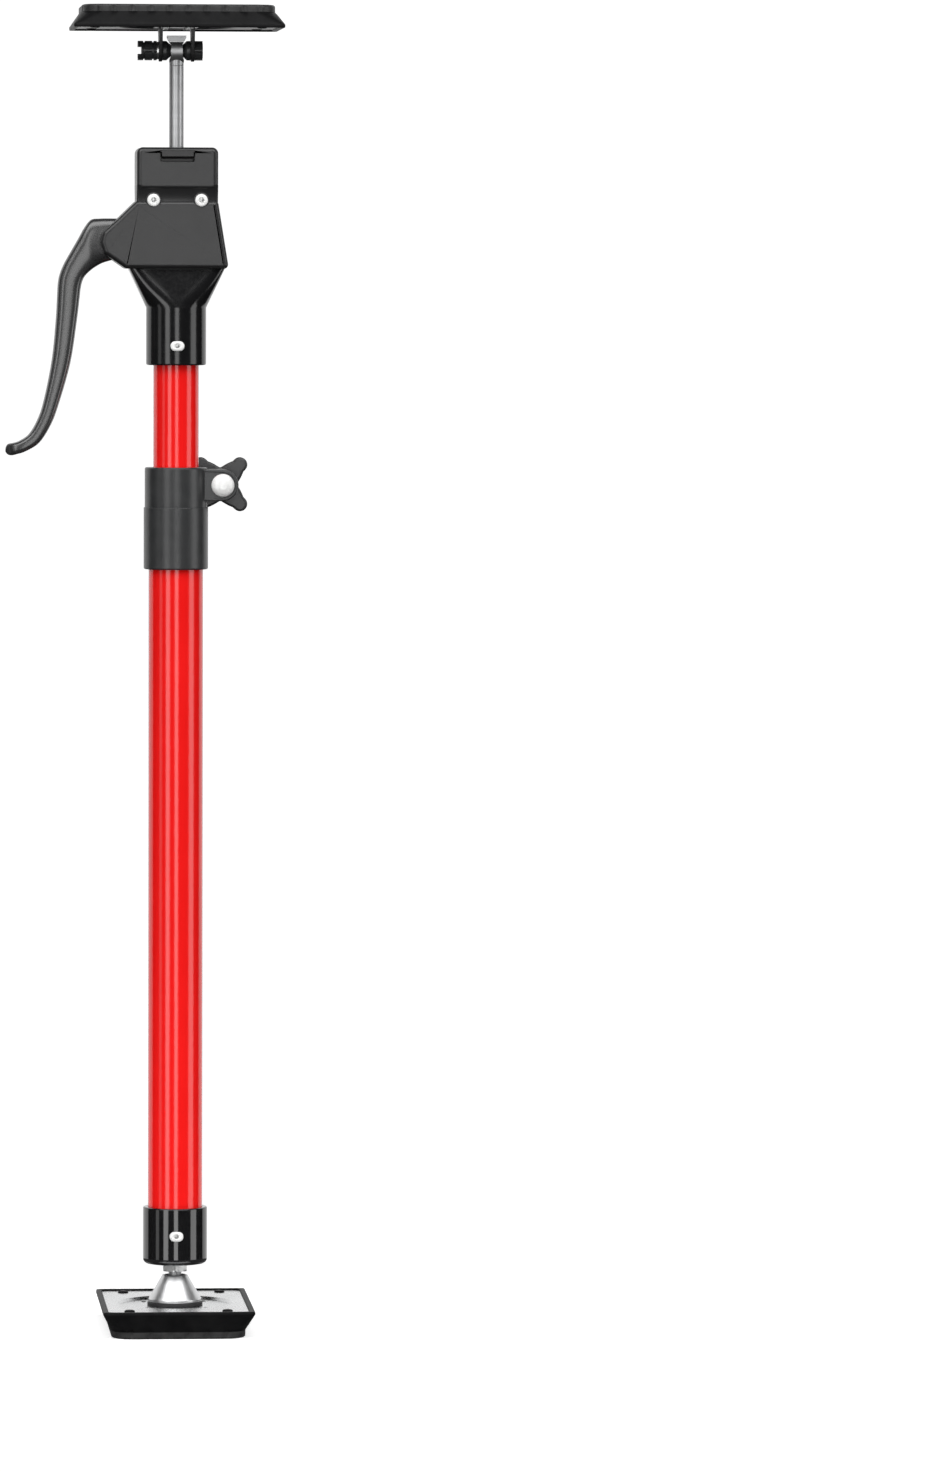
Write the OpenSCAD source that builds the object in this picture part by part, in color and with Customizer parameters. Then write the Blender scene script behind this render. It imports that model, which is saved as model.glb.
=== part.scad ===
// Telescopic drywall support pole: two clamped tubes, a pump grip that lifts a jamming rod, and two rubber pads.
// Millimetres, +Z up. The origin is the middle of the foot pad's contact face, on the pole's axis.
// The lever is on -X, the clamp ears on +X, and the face with the release tab on -Y.

/* [Tubes] */
// Outer diameter of the upper, inner tube
upper_tube_d = 25; // [22:0.5:32]
// Wall of both tubes
tube_wall = 1.2; // [0.8:0.1:2]
// Radial space between the two tubes
tube_gap = 1.3; // [0.9:0.1:3]
// Length of the lower tube
lower_tube_l = 405; // [280:5:900]
// Length of upper tube that shows between collar and neck
shown_tube_l = 56; // [54:1:250]
// Room under the upper tube's guide bush, inside the lower tube
inner_end_room = 64; // [60:1:120]

/* [Rubber pads and their plates] */
// Length of a pad at its lip
pad_l = 115; // [90:1:160]
// Width of a pad at its lip
pad_w = 83; // [70:1:120]
// Height of the foot pad, contact face to lip
foot_pad_h = 15.4; // [15:0.1:20]
// Height of the head pad, contact face to lip
head_pad_h = 12.7; // [12.5:0.1:18]
// How far the lip stands out past the contact face, each side
pad_flare = 4.7; // [2:0.1:8]
// Height of the upright tread band at the contact face
tread_band_h = 3.9; // [3:0.1:5]
// Height of the upright band at the lip
lip_band_h = 1.8; // [0.6:0.1:3]
// Corner radius of the contact face
contact_corner = 12; // [6:0.5:14]
// Distance from one tread block to the next
tread_pitch = 9.36; // [7:0.1:14]
// Width of a tread groove
tread_groove_w = 2.2; // [1:0.1:3.5]
// Plain rubber rim round the tread grooves
tread_rim = 4; // [2:0.5:8]
// Depth of a tread groove
tread_groove_h = 2.2; // [1:0.1:2.8]
// Rubber rim between the lip's edge and the plate
pad_rim = 3; // [2:0.1:5]
// Depth of the plate's top below the lip
plate_recess = 0.9; // [0:0.1:2]
// Thickness of the steel plates
plate_t = 1.5; // [1:0.1:2.5]
// Diameter of the round panel that is pressed into each plate
panel_d = 63; // [58:1:67]
// Depth of the pressed panel
panel_drop = 1.6; // [1:0.1:1.8]
// Diameter of a rubber peg's head
peg_head_d = 5.8; // [4.5:0.1:8]

/* [Foot ball joint] */
// Diameter of the ball
ball_d = 14; // [12:0.2:15]
// Depth of the ball's centre below the bell's mouth
ball_depth = 7.9; // [7.5:0.1:8]
// Radius of the bell's foot
bell_r = 14.6; // [14:0.1:18]
// Radius of the bell at its mouth
bell_mouth_r = 7; // [6.6:0.1:8]
// Height of the bell's upright foot band
bell_band_h = 1.5; // [0.8:0.1:3]
// Height of the bell above its gasket
bell_h = 14.7; // [14:0.1:17]
// Thickness of the dark gasket under the bell
gasket_t = 2.1; // [1.5:0.1:3]
// Clear height between the bell and the lock nut, which the tilt needs
tilt_room = 2; // [1.8:0.1:5]
// Diameter of the stud's thread
stud_d = 8; // [7:0.5:8.5]
// Width of the stud's nuts across flats
nut_af = 13; // [12:0.5:15]
// Height of the outer lock nut
lock_nut_h = 4.4; // [4:0.1:8]

/* [End cap and clamp collar] */
// Wall of the end cap and of the collar's lower part
sleeve_wall = 2.7; // [2:0.1:4]
// Height of the end cap
cap_h = 31.5; // [24:0.5:45]
// Thickness of the end cap's floor
cap_floor = 9; // [5:0.5:10]
// Height of the collar's lower part
collar_low_h = 34; // [20:1:60]
// Height of the collar's split upper part
collar_top_h = 22; // [19:0.5:32]
// How much the split part is thinner in radius
collar_step = 0.55; // [0.2:0.05:0.9]
// Distance from the pole's axis to the clamp bolt
clamp_x = 25.4; // [25:0.1:30]
// Radius of the ears round the clamp bolt
ear_r = 8.7; // [7.5:0.1:9.5]
// Outer face of each ear, from the split
ear_out = 8; // [6:0.1:9]
// Width of the split
split_w = 2.5; // [1.5:0.1:4]
// Diameter of the clamp bolt
clamp_bolt_d = 6; // [5:0.5:7]
// Diameter of the clamp bolt's round head
clamp_head_d = 12.6; // [11:0.2:15]
// Distance from the knob's axis to an arm's end circle
arm_reach = 15.6; // [15:0.2:20]
// Radius of an arm's round end
arm_r = 3.8; // [2.4:0.1:4.2]
// Radius of the knob between two arms
waist_r = 9.3; // [8.5:0.1:10.5]
// Thickness of the knob's arms
arm_t = 7; // [5:0.5:10]

/* [Grip housing] */
// Width of the upper box
box_w = 44.6; // [40:0.2:52]
// Height of the upper box above the rivets
box_h = 29.2; // [28:0.2:36]
// Depth of the upper box, front to back
box_d = 34; // [33:0.5:42]
// Width of the face plate at its lower edge
face_w = 56.6; // [50:0.2:66]
// Height of the face plate
face_h = 37.1; // [36:0.1:45]
// Depth of the face plates, front to back
face_d = 31; // [30:0.5:38]
// How far the lever's cheek reaches left of the axis
cheek_reach = 42.1; // [40:0.1:48]
// Height of the funnel
funnel_h = 21.3; // [16:0.1:30]
// Height of the neck
neck_h = 31.5; // [28:0.5:45]
// Wall of the neck
neck_wall = 3.97; // [3:0.01:4.6]
// Rivets' distance from the axis
rivet_x = 13.1; // [12.6:0.1:16]
// Diameter of the housing rivets' heads
rivet_head_d = 7; // [5:0.1:8]

/* [Lever] */
// Pivot, left of the axis
pivot_x = 31; // [30:0.1:34]
// Pivot, above the face plate's lower edge
pivot_up = 18.2; // [17:0.1:20]
// Drop from the pivot to the tip's bead
lever_drop = 117.7; // [90:0.5:150]
// Reach from the pivot to the tip's bead
lever_reach = 59.3; // [50:0.5:75]
// Radius of the lever's hub
hub_r = 9.3; // [8:0.1:9.6]
// Thickness of the lever's web
web_t = 12; // [8:0.5:13]
// Width of the hand grip, front to back
grip_w = 14; // [12:0.5:15]
// Diameter of the lever's pin
pin_d = 5; // [4:0.5:6]

/* [Lift rod and jaws] */
// Diameter of the lift rod
rod_d = 8; // [7:0.5:8.5]
// Length of the lift rod below the housing's top at rest
rod_in_l = 183; // [150:1:185]
// Height of the tilt axis above the housing's top at rest
rod_out_l = 53; // [50:1:60]
// Thickness of the drive plate
drive_plate_t = 2.5; // [2:0.1:3]
// Distance from the lever's pivot to its lifting nose
nose_l = 20; // [19.5:0.1:20.5]
// Radius of the lifting nose
nose_r = 2.5; // [2:0.1:2.6]
// Thickness of the lock plate
lock_plate_t = 2; // [1.5:0.1:2.2]
// Slope of the lock plate at rest, in degrees
lock_slope = 7; // [5:0.5:7]
// Wire of the drive spring
drive_wire = 1.2; // [0.8:0.1:1.4]

/* [Head] */
// Half width of the rod eye at its waist
eye_waist = 3.15; // [3:0.05:3.3]
// Inner face of each bracket ear, from the axis
fork_in = 7.8; // [7.4:0.1:9]
// Thickness of the bracket
bracket_t = 2; // [1.5:0.1:2.5]
// Diameter of the tilt bolt
tilt_bolt_d = 5; // [4:0.5:5]
// Diameter of the head knob and its cap
head_knob_d = 10.7; // [10:0.1:12]
// Length of the head knob
head_knob_l = 10.4; // [8:0.1:14]
// Length of the cap on the tilt bolt's head
head_cap_l = 4.4; // [4:0.1:7]

/* [Hidden] */

$fn = 64;
hull_fn = 28;

// Shared clearances
overrun = 1;
seat_fit = 0.02;
run_fit = 0.05;
small_gap = 0.1;
free_gap = 0.3;

// Tube radii
upper_r = upper_tube_d / 2;
upper_in_r = upper_r - tube_wall;
lower_in_r = upper_r + tube_gap;
lower_r = lower_in_r + tube_wall;
sleeve_r = lower_r + seat_fit + sleeve_wall;

// Pads and plates
lip_corner = 2.5;
plate_w = pad_w - 2 * pad_rim;
plate_l = pad_l - 2 * pad_rim;
plate_corner = 4;
panel_r = panel_d / 2;
panel_top = foot_pad_h - plate_recess - panel_drop;
panel_under = panel_top - plate_t;
head_panel_top = head_pad_h - plate_recess - panel_drop;
well_r = 0.86 * panel_r;
well_floor = 7.2;
peg_inset = 9;
peg_head_h = 1.1;
peg_stem_share = 0.6;

// Foot joint, from the floor up
disc_t = 1.5;
disc_r = 0.76 * panel_r;
skirt_wall = 1.2;
skirt_lip_t = 1;
backing_t = 1.2;
backing_in_r = 13.8;
backing_r = 0.825 * panel_r;
foot_rivet_d = 2.4;
foot_rivet_at = 0.525 * panel_r;
bell_z = panel_top + gasket_t;
bell_top = bell_z + bell_h;
bell_slope = (bell_r - bell_mouth_r) / (bell_h - bell_band_h);
bell_wall = 1.2;
skirt_in_r = 0.72 * bell_r;
skirt_r = skirt_in_r + skirt_wall;
gasket_r = bell_r + bell_wall / 2;
ball_r = ball_d / 2;
seat_z = well_floor + disc_t + small_gap;
ball_z = bell_top - ball_depth;
seat_top = ball_z + ball_r / 2;
waist_share = 0.5;
stud_neck_r = ball_r * waist_share;
lock_nut_z = bell_top + tilt_room;
cap_z = lock_nut_z + lock_nut_h;
tube_z = cap_z + cap_floor;
inner_nut_h = 6.5;
stud_end = 3.5;
stud_top = tube_z + inner_nut_h + stud_end;

// End cap
cap_round = 3;
cap_rivet_z = cap_z + cap_h * 0.52;
oval_head_l = 7.7;
oval_head_w = 5.5;
rivet_head_h = 1.2;
rivet_d = 4;
spot_depth = 0.45;

// Collar
lower_tube_top = tube_z + lower_tube_l;
collar_shoulder = 3;
collar_step_z = lower_tube_top + collar_shoulder;
collar_z = collar_step_z - collar_low_h;
collar_top = collar_step_z + collar_top_h;
collar_r = sleeve_r - collar_step;
bush_r = lower_in_r + tube_wall / 2;
bush_lip = 1.5;
clamp_z = collar_top - collar_top_h * 0.445;
bolt_head_t = 3.3;
washer_t = 1.4;
washer_z = ear_out + small_gap / 2;
knob_z = washer_z + washer_t + small_gap / 2;
knob_hub_r = 8;
arm_z = sleeve_r + free_gap;
knob_top = arm_z + arm_t;
clamp_nut_af = clamp_bolt_d * 5 / 3;
clamp_nut_h = 5;
clamp_nut_z = knob_top - clamp_nut_h;

// Guide bush inside the lower tube
guide_flange_h = 8;
guide_spigot_h = 12;
guide_bore_share = 0.62;
upper_tube_z = tube_z + inner_end_room + guide_flange_h;

// Housing levels
neck_z = collar_top + shown_tube_l;
neck_r = upper_r + run_fit + neck_wall;
tube_in_neck = 25.5;
upper_tube_top = neck_z + tube_in_neck;
neck_top = neck_z + neck_h;
face_z = neck_top + funnel_h;
face_top = face_z + face_h;
box_top = face_top + box_h;
band_h = 6;
band_inset = 1.6;
slab_corner = 3.3;
slab_edge = 1.6;
rivet_z = face_top + free_gap;
rivet_boss_r = rivet_head_d / 2 + 0.12 * rivet_head_d;
housing_rivet_h = 1.4;

// Lever pivot and nose
pivot_z = face_z + pivot_up;
slot_half = web_t / 2 + 2.2 * web_t / 12;
nose_rest = -10;
lever_swing = 22;
hub_room = 0.6;
nose_x = -pivot_x + nose_l * cos(nose_rest);
nose_z = pivot_z + nose_l * sin(nose_rest);
grip_room = grip_w / 2 + slot_half / 7;

// Jaws round the rod
rod_r = rod_d / 2;
rod_bore_r = rod_r + free_gap;
drive_z = nose_z + nose_r + free_gap;
drive_half_w = 8;
drive_left = 15;
drive_right = 11;
drive_lift = nose_l * (sin(nose_rest + lever_swing) - sin(nose_rest));
room_floor = nose_z - nose_r - 3;
ledge_x = 7;
mid_wall_z = drive_z + drive_plate_t + drive_lift + 5.5;
spring_pocket = 3;
spring_pocket_r = 7.6;
drive_spring_r = rod_r + 2;
top_wall = 2.4;
roof_z = box_top - top_wall;
room_half_w = 11;
room_rear = 13;
lock_half_w = 8.6;
lock_rear = 11.2;
lock_pivot_y = -11.5;
tab_window_h = 5.4;
ledge_half = 0.7;
lock_z = roof_z - 3.5;
tab_lip_h = 3.3;
tab_lip_t = 1.4;
tab_out = 0.6;
upper_room_z = rivet_z + rivet_d / 2 + 4;
lock_spring_r = 2.2;
lock_spring_y = 8.2;
lock_wire = 0.6;
lock_pocket = 1;

// Rod and its guide
rod_bottom = box_top - rod_in_l;
stop_ring_t = 1.2;
stop_ring_up = 2;
stop_ring_r = 6.5;
groove_depth = 1;
tilt_z = box_top + rod_out_l;
rod_top = tilt_z - 8;
spigot_l = 2.5;
spigot_share = 0.6;
rod_guide_l = 11;
rod_guide_flange = 1.5;

// Head levels, measured from the tilt axis
eye_top = 8.2;
eye_disc_r = 6.5;
eye_top_half = 5.2;
eye_top_y = 4.6;
fork_out = fork_in + bracket_t;
base_up = 12.7;
base_t = 1.5;
base_half_x = 12;
base_half_y = 18;
base_z = tilt_z + base_up;
head_panel_z = base_z + base_t;
head_top = head_panel_z + head_panel_top;
fork_ear_r = 6;
fork_root_y = 9;
cone_tip_r = 3.2;
cone_l = 2.3;
head_washer_t = 1;
head_washer_x = fork_out + small_gap / 2;
head_knob_x = head_washer_x + head_washer_t + small_gap / 2;
bracket_rivet_x = 6.5;
bracket_rivet_y = 13.5;
bracket_rivet_d = 3;
hex_h = 3;

// Small helpers

module ring(r_out, r_in, h) {
    difference() {
        cylinder(r = r_out, h = h);
        translate([0, 0, -overrun])
            cylinder(r = r_in, h = h + 2 * overrun);
    }
}

// Turns the local +Z to point along +X, along +Y or along -Y
module along_x() { rotate([0, 90, 0]) children(); }
module along_y() { rotate([-90, 0, 0]) children(); }
module along_front() { rotate([90, 0, 0]) children(); }

// An outline drawn in X and Z, given a thickness centred on Y
module slice_xz(t) { rotate([90, 0, 0]) linear_extrude(height = t, center = true) children(); }

// An outline drawn in Y and Z, given a thickness centred on X
module slice_yz(t) { rotate([90, 0, 90]) linear_extrude(height = t, center = true) children(); }

module round_rect(w, l, r) {
    square([w - 2 * r, l], center = true);
    square([w, l - 2 * r], center = true);
    for (x = [-1, 1], y = [-1, 1])
        translate([x * (w / 2 - r), y * (l / 2 - r)])
            circle(r = r);
}

// A low dome whose height is h over a disc of radius r
module dome(r, h) {
    cap_r = (r * r + h * h) / (2 * h);
    intersection() {
        translate([0, 0, h - cap_r])
            sphere(r = cap_r);
        cylinder(r = r, h = h);
    }
}

module hex_nut(af, bore_r, h) {
    difference() {
        cylinder(r = af / sqrt(3), h = h, $fn = 6);
        translate([0, 0, -overrun])
            cylinder(r = bore_r, h = h + 2 * overrun);
    }
}

// A stadium outline of length l and width w
module stadium(l, w) {
    square([l - w, w], center = true);
    for (x = [-1, 1])
        translate([x * (l - w) / 2, 0])
            circle(d = w);
}

// A helical wire of round section, standing on z = 0 with ends inside the height
function coil_point(r, wire, h, turns, i, j, rings, sides) =
    let (a = 360 * turns * i / rings, b = 360 * j / sides, q = r + wire / 2 * cos(b))
    [q * cos(a), q * sin(a), wire / 2 + (h - wire) * i / rings + wire / 2 * sin(b)];

module coil(r, wire, h, turns) {
    rings = turns * 12;
    sides = 8;
    points = [for (i = [0:rings], j = [0:sides - 1]) coil_point(r, wire, h, turns, i, j, rings, sides)];
    walls = [
        for (i = [0:rings - 1], j = [0:sides - 1])
            let (a = i * sides + j, b = i * sides + (j + 1) % sides)
            for (f = [[a, a + sides, b], [b, a + sides, b + sides]]) f
    ];
    near_end = [[for (j = [0:sides - 1]) j]];
    far_end = [[for (j = [sides - 1:-1:0]) rings * sides + j]];
    polyhedron(points = points, faces = concat(walls, near_end, far_end));
}

// Rubber pads and plates, drawn with the contact face down

module pad_layer(w, l, r, z, t) {
    translate([0, 0, z])
        linear_extrude(height = t)
            round_rect(w, l, r, $fn = hull_fn);
}

module tread_grooves(w, l) {
    for (side = [-1, 1]) {
        for (i = [0:floor((w / 2 - tread_rim) / tread_pitch - 0.8)])
            translate([side * (i + 0.5) * tread_pitch, 0, tread_groove_h / 2 - overrun / 2])
                cube([tread_groove_w, l - 2 * tread_rim, tread_groove_h + overrun], center = true);
        for (i = [0:floor((l / 2 - tread_rim) / tread_pitch - 0.8)])
            translate([0, side * (i + 0.5) * tread_pitch, tread_groove_h / 2 - overrun / 2])
                cube([w - 2 * tread_rim, tread_groove_w, tread_groove_h + overrun], center = true);
    }
}

module at_pegs() {
    for (x = [-1, 1], y = [-1, 1])
        translate([x * (plate_w / 2 - peg_inset * 1.3), y * (plate_l / 2 - peg_inset), 0])
            children();
}

module rubber_pad(h) {
    contact_w = pad_w - 2 * pad_flare;
    contact_l = pad_l - 2 * pad_flare;
    plate_z = h - plate_recess;
    under_z = plate_z - plate_t - panel_drop;
    difference() {
        hull() {
            pad_layer(contact_w, contact_l, contact_corner, 0, tread_band_h);
            pad_layer(pad_w, pad_l, lip_corner, h - lip_band_h, lip_band_h);
        }
        translate([0, 0, plate_z - plate_t])
            linear_extrude(height = h)
                round_rect(plate_w + 2 * small_gap, plate_l + 2 * small_gap, plate_corner + small_gap);
        translate([0, 0, under_z])
            cylinder(r = panel_r + plate_t, h = h);
        translate([0, 0, well_floor])
            cylinder(r = well_r, h = h);
        tread_grooves(contact_w, contact_l);
    }
    at_pegs() {
        translate([0, 0, plate_z - plate_t - panel_drop])
            cylinder(d = peg_head_d * peg_stem_share, h = plate_t + panel_drop + peg_head_h / 2);
        translate([0, 0, plate_z])
            cylinder(d = peg_head_d, h = peg_head_h);
    }
}

// A pressed plate whose round panel is sunk towards the pad
module pressed_plate(h, centre_r) {
    plate_z = h - plate_recess;
    bend = 0.6 * plate_t;
    difference() {
        translate([0, 0, plate_z - plate_t])
            linear_extrude(height = plate_t)
                round_rect(plate_w, plate_l, plate_corner);
        translate([0, 0, plate_z - plate_t - overrun])
            cylinder(r = panel_r + 0.8 * plate_t, h = plate_t + 2 * overrun);
        at_pegs()
            translate([0, 0, plate_z - plate_t - overrun])
                cylinder(d = peg_head_d * peg_stem_share + 2 * small_gap, h = plate_t + 2 * overrun);
    }
    translate([0, 0, plate_z - plate_t])
        rotate_extrude()
            polygon([
                [centre_r, -panel_drop], [panel_r - panel_drop / 2 + bend, -panel_drop], [panel_r + bend, 0],
                [panel_r + plate_t, 0], [panel_r + plate_t, plate_t], [panel_r, plate_t],
                [panel_r - panel_drop / 2, plate_t - panel_drop], [centre_r, plate_t - panel_drop]
            ]);
}

module foot_pad() {
    color("#1b1b1b") rubber_pad(foot_pad_h);
}

module at_foot_rivets() {
    for (x = [-1, 1], y = [-1, 1])
        translate([x * foot_rivet_at, y * foot_rivet_at, 0])
            children();
}

module foot_plate() {
    color("#c9cbce")
        difference() {
            pressed_plate(foot_pad_h, skirt_r + small_gap);
            at_foot_rivets()
                translate([0, 0, panel_under - overrun])
                    cylinder(d = foot_rivet_d + 2 * seat_fit, h = plate_t + 2 * overrun);
        }
}

// Steel disc in the rubber, which takes the load of the ball
module thrust_disc() {
    color("#9b9ea2")
        translate([0, 0, well_floor])
            cylinder(r = disc_r, h = disc_t);
}

// Ring that stiffens the panel from below, round the swaged lip of the bell
module backing_ring() {
    color("#9b9ea2")
        difference() {
            translate([0, 0, panel_under - backing_t])
                ring(backing_r, backing_in_r, backing_t);
            at_foot_rivets()
                translate([0, 0, panel_under - backing_t - overrun])
                    cylinder(d = foot_rivet_d + 2 * seat_fit, h = backing_t + 2 * overrun);
        }
}

module foot_rivets() {
    head_h = 0.3 * foot_rivet_d;
    stack = plate_t + backing_t;
    color("#b9bcc0")
        at_foot_rivets() {
            translate([0, 0, panel_under - backing_t - head_h])
                cylinder(d = 1.6 * foot_rivet_d, h = head_h);
            translate([0, 0, panel_under - backing_t - head_h])
                cylinder(d = foot_rivet_d, h = stack + head_h);
            translate([0, 0, panel_top])
                dome(0.8 * foot_rivet_d, head_h);
        }
}

// Foot ball joint

// The bell: a cone on an upright band, with a skirt that is swaged over under the plate
module ball_bell() {
    lip_top = panel_under;
    inner_top_z = bell_top - (skirt_in_r + bell_wall - bell_mouth_r) / bell_slope;
    color("#e4e6e8")
        rotate_extrude()
            polygon([
                [skirt_in_r, lip_top - skirt_lip_t], [bell_r - bell_wall, lip_top - skirt_lip_t],
                [bell_r - bell_wall, lip_top], [skirt_r, lip_top], [skirt_r, bell_z], [bell_r, bell_z],
                [bell_r, bell_z + bell_band_h], [bell_mouth_r, bell_top], [bell_mouth_r - bell_wall, bell_top],
                [skirt_in_r, inner_top_z]
            ]);
}

module bell_gasket() {
    color("#151515")
        translate([0, 0, panel_top])
            ring(gasket_r, skirt_r + small_gap, gasket_t);
}

module ball_seat() {
    cone_r = bell_mouth_r + bell_slope * (bell_top - seat_top) - bell_wall - small_gap;
    side_z = bell_top - (skirt_in_r + bell_wall - bell_mouth_r) / bell_slope;
    color("#22242a")
        difference() {
            rotate_extrude()
                polygon([
                    [0, seat_z], [skirt_in_r - small_gap, seat_z], [skirt_in_r - small_gap, side_z],
                    [min(cone_r, skirt_in_r - small_gap), seat_top], [0, seat_top]
                ]);
            translate([0, 0, ball_z])
                sphere(r = ball_r + run_fit);
        }
}

module ball_stud() {
    color("#d6d8da") {
        translate([0, 0, ball_z])
            sphere(r = ball_r);
        translate([0, 0, ball_z])
            cylinder(r = stud_neck_r, h = lock_nut_z - ball_z);
        translate([0, 0, lock_nut_z - small_gap])
            cylinder(d = stud_d, h = stud_top - lock_nut_z);
    }
}

module foot_lock_nut() {
    color("#8f9296")
        translate([0, 0, lock_nut_z])
            hex_nut(nut_af, stud_d / 2 + seat_fit, lock_nut_h);
}

module foot_inner_nut() {
    color("#8f9296")
        translate([0, 0, tube_z])
            hex_nut(nut_af, stud_d / 2 + seat_fit, inner_nut_h);
}

// End cap with its rivet

module blind_rivet(surface_r, inner_r) {
    head_y = surface_r - spot_depth;
    along_front() {
        translate([0, 0, inner_r - rivet_d])
            cylinder(d = rivet_d, h = head_y - inner_r + rivet_d);
        translate([0, 0, head_y])
            linear_extrude(height = rivet_head_h / 2)
                stadium(oval_head_l, oval_head_w);
        translate([0, 0, head_y])
            linear_extrude(height = rivet_head_h)
                stadium(oval_head_l - rivet_head_h, oval_head_w - rivet_head_h);
        translate([0, 0, inner_r - rivet_d])
            cylinder(d = rivet_d * 1.4, h = rivet_d / 2);
    }
}

// The spot face and hole that a blind rivet needs
module blind_rivet_hole(surface_r) {
    along_front() {
        cylinder(d = rivet_d + 2 * seat_fit, h = surface_r + overrun);
        translate([0, 0, surface_r - spot_depth])
            linear_extrude(height = rivet_head_h + overrun)
                stadium(oval_head_l + small_gap, oval_head_w + small_gap);
    }
}

module lower_end_cap() {
    color("#141416")
        difference() {
            translate([0, 0, cap_z])
                rotate_extrude() {
                    translate([0, cap_round])
                        square([sleeve_r, cap_h - cap_round]);
                    square([sleeve_r - cap_round, cap_h]);
                    translate([sleeve_r - cap_round, cap_round])
                        circle(r = cap_round);
                }
            translate([0, 0, tube_z])
                cylinder(r = lower_r + seat_fit, h = cap_h);
            translate([0, 0, cap_z - overrun])
                cylinder(r = stud_d / 2 + small_gap, h = cap_floor + 2 * overrun);
            translate([0, 0, cap_rivet_z])
                blind_rivet_hole(sleeve_r);
        }
}

module lower_cap_rivet() {
    color("#f2f2f2")
        translate([0, 0, cap_rivet_z])
            blind_rivet(sleeve_r, lower_in_r);
}

// Tubes

module lower_tube() {
    color("#e1191b")
        difference() {
            translate([0, 0, tube_z])
                ring(lower_r, lower_in_r, lower_tube_l);
            translate([0, 0, cap_rivet_z])
                along_front()
                    cylinder(d = rivet_d + 2 * seat_fit, h = lower_r + overrun);
        }
}

module upper_tube() {
    color("#e1191b")
        difference() {
            translate([0, 0, upper_tube_z])
                ring(upper_r, upper_in_r, upper_tube_top - upper_tube_z);
            translate([0, 0, neck_rivet_z()])
                along_front()
                    cylinder(d = rivet_d + 2 * seat_fit, h = upper_r + overrun);
        }
}

function neck_rivet_z() = neck_z + tube_in_neck - rod_guide_l - rivet_d;

module tube_guide_bush() {
    color("#2b2b2e")
        difference() {
            union() {
                translate([0, 0, upper_tube_z - guide_flange_h])
                    cylinder(r = lower_in_r - run_fit, h = guide_flange_h);
                translate([0, 0, upper_tube_z - overrun])
                    cylinder(r = upper_in_r - run_fit, h = guide_spigot_h + overrun);
            }
            translate([0, 0, upper_tube_z - guide_flange_h - overrun])
                cylinder(r = upper_r * guide_bore_share, h = guide_flange_h + guide_spigot_h + 2 * overrun);
        }
}

// Clamp collar and what tightens it

module clamp_collar() {
    ear_l = clamp_x - collar_r / 2;
    color("#3f4244")
        difference() {
            union() {
                translate([0, 0, collar_z])
                    cylinder(r = sleeve_r, h = collar_low_h);
                translate([0, 0, collar_step_z - overrun])
                    cylinder(r = collar_r, h = collar_top_h + overrun);
                translate([clamp_x - ear_l, -ear_out, clamp_z - ear_r])
                    cube([ear_l, 2 * ear_out, 2 * ear_r]);
                translate([clamp_x, -ear_out, clamp_z])
                    along_y()
                        cylinder(r = ear_r, h = 2 * ear_out);
            }
            translate([0, 0, collar_z - overrun])
                cylinder(r = lower_r + seat_fit, h = lower_tube_top - collar_z + overrun);
            translate([0, 0, lower_tube_top - overrun])
                cylinder(r = bush_r + seat_fit, h = collar_top - bush_lip - lower_tube_top + overrun);
            translate([0, 0, collar_z])
                cylinder(r = upper_r + free_gap, h = collar_top - collar_z + overrun);
            translate([0, -split_w / 2, collar_step_z])
                cube([clamp_x + ear_r + overrun, split_w, collar_top_h + overrun]);
            translate([clamp_x, -ear_out - overrun, clamp_z])
                along_y()
                    cylinder(d = clamp_bolt_d + 2 * small_gap, h = 2 * (ear_out + overrun));
            translate([clamp_x, -ear_out, clamp_z])
                cube([clamp_bolt_d + 2 * small_gap, clamp_bolt_d, clamp_bolt_d + 2 * small_gap], center = true);
        }
}

module collar_bush() {
    color("#1c1c1e")
        difference() {
            translate([0, 0, lower_tube_top + small_gap])
                ring(bush_r, upper_r + run_fit, collar_top - bush_lip - lower_tube_top - 2 * small_gap);
            translate([0, -split_w / 2, lower_tube_top])
                cube([bush_r + overrun, split_w, collar_top_h + collar_shoulder]);
        }
}

// Carriage bolt: domed head, square neck in the front ear, shank to the back of the knob
module clamp_bolt() {
    color("#f0f1f2")
        translate([clamp_x, 0, clamp_z]) {
            translate([0, -ear_out, 0])
                along_front()
                    dome(clamp_head_d / 2, bolt_head_t);
            translate([0, -ear_out, 0])
                along_y()
                    cylinder(d = clamp_bolt_d, h = ear_out + knob_top);
            translate([-clamp_bolt_d / 2, -ear_out, -clamp_bolt_d / 2])
                cube([clamp_bolt_d, clamp_bolt_d / 2 - small_gap, clamp_bolt_d]);
        }
}

module clamp_washer() {
    color("#b9bcc0")
        translate([clamp_x, washer_z, clamp_z])
            along_y()
                ring(knob_hub_r - free_gap, clamp_bolt_d / 2 + small_gap, washer_t);
}

// Outline of the four-armed knob: an octagon through the tangent points, hollowed by four arcs
module knob_outline() {
    tip = arm_reach / sqrt(2);
    arc_far = (2 * tip * tip - (waist_r - arm_r) * (waist_r - arm_r)) / (2 * (tip - waist_r + arm_r));
    arc_r = arc_far - waist_r;
    u = (arc_far - tip) / (arc_r + arm_r);
    v = tip / (arc_r + arm_r);
    near = tip - arm_r * v;
    far = tip + arm_r * u;
    difference() {
        polygon([
            [far, -near], [far, near], [near, far], [-near, far],
            [-far, near], [-far, -near], [-near, -far], [near, -far]
        ]);
        for (a = [0:90:270])
            rotate(a)
                translate([arc_far, 0])
                    circle(r = arc_r);
    }
    for (a = [45:90:315])
        rotate(a)
            translate([arm_reach, 0])
                circle(r = arm_r);
}

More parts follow.
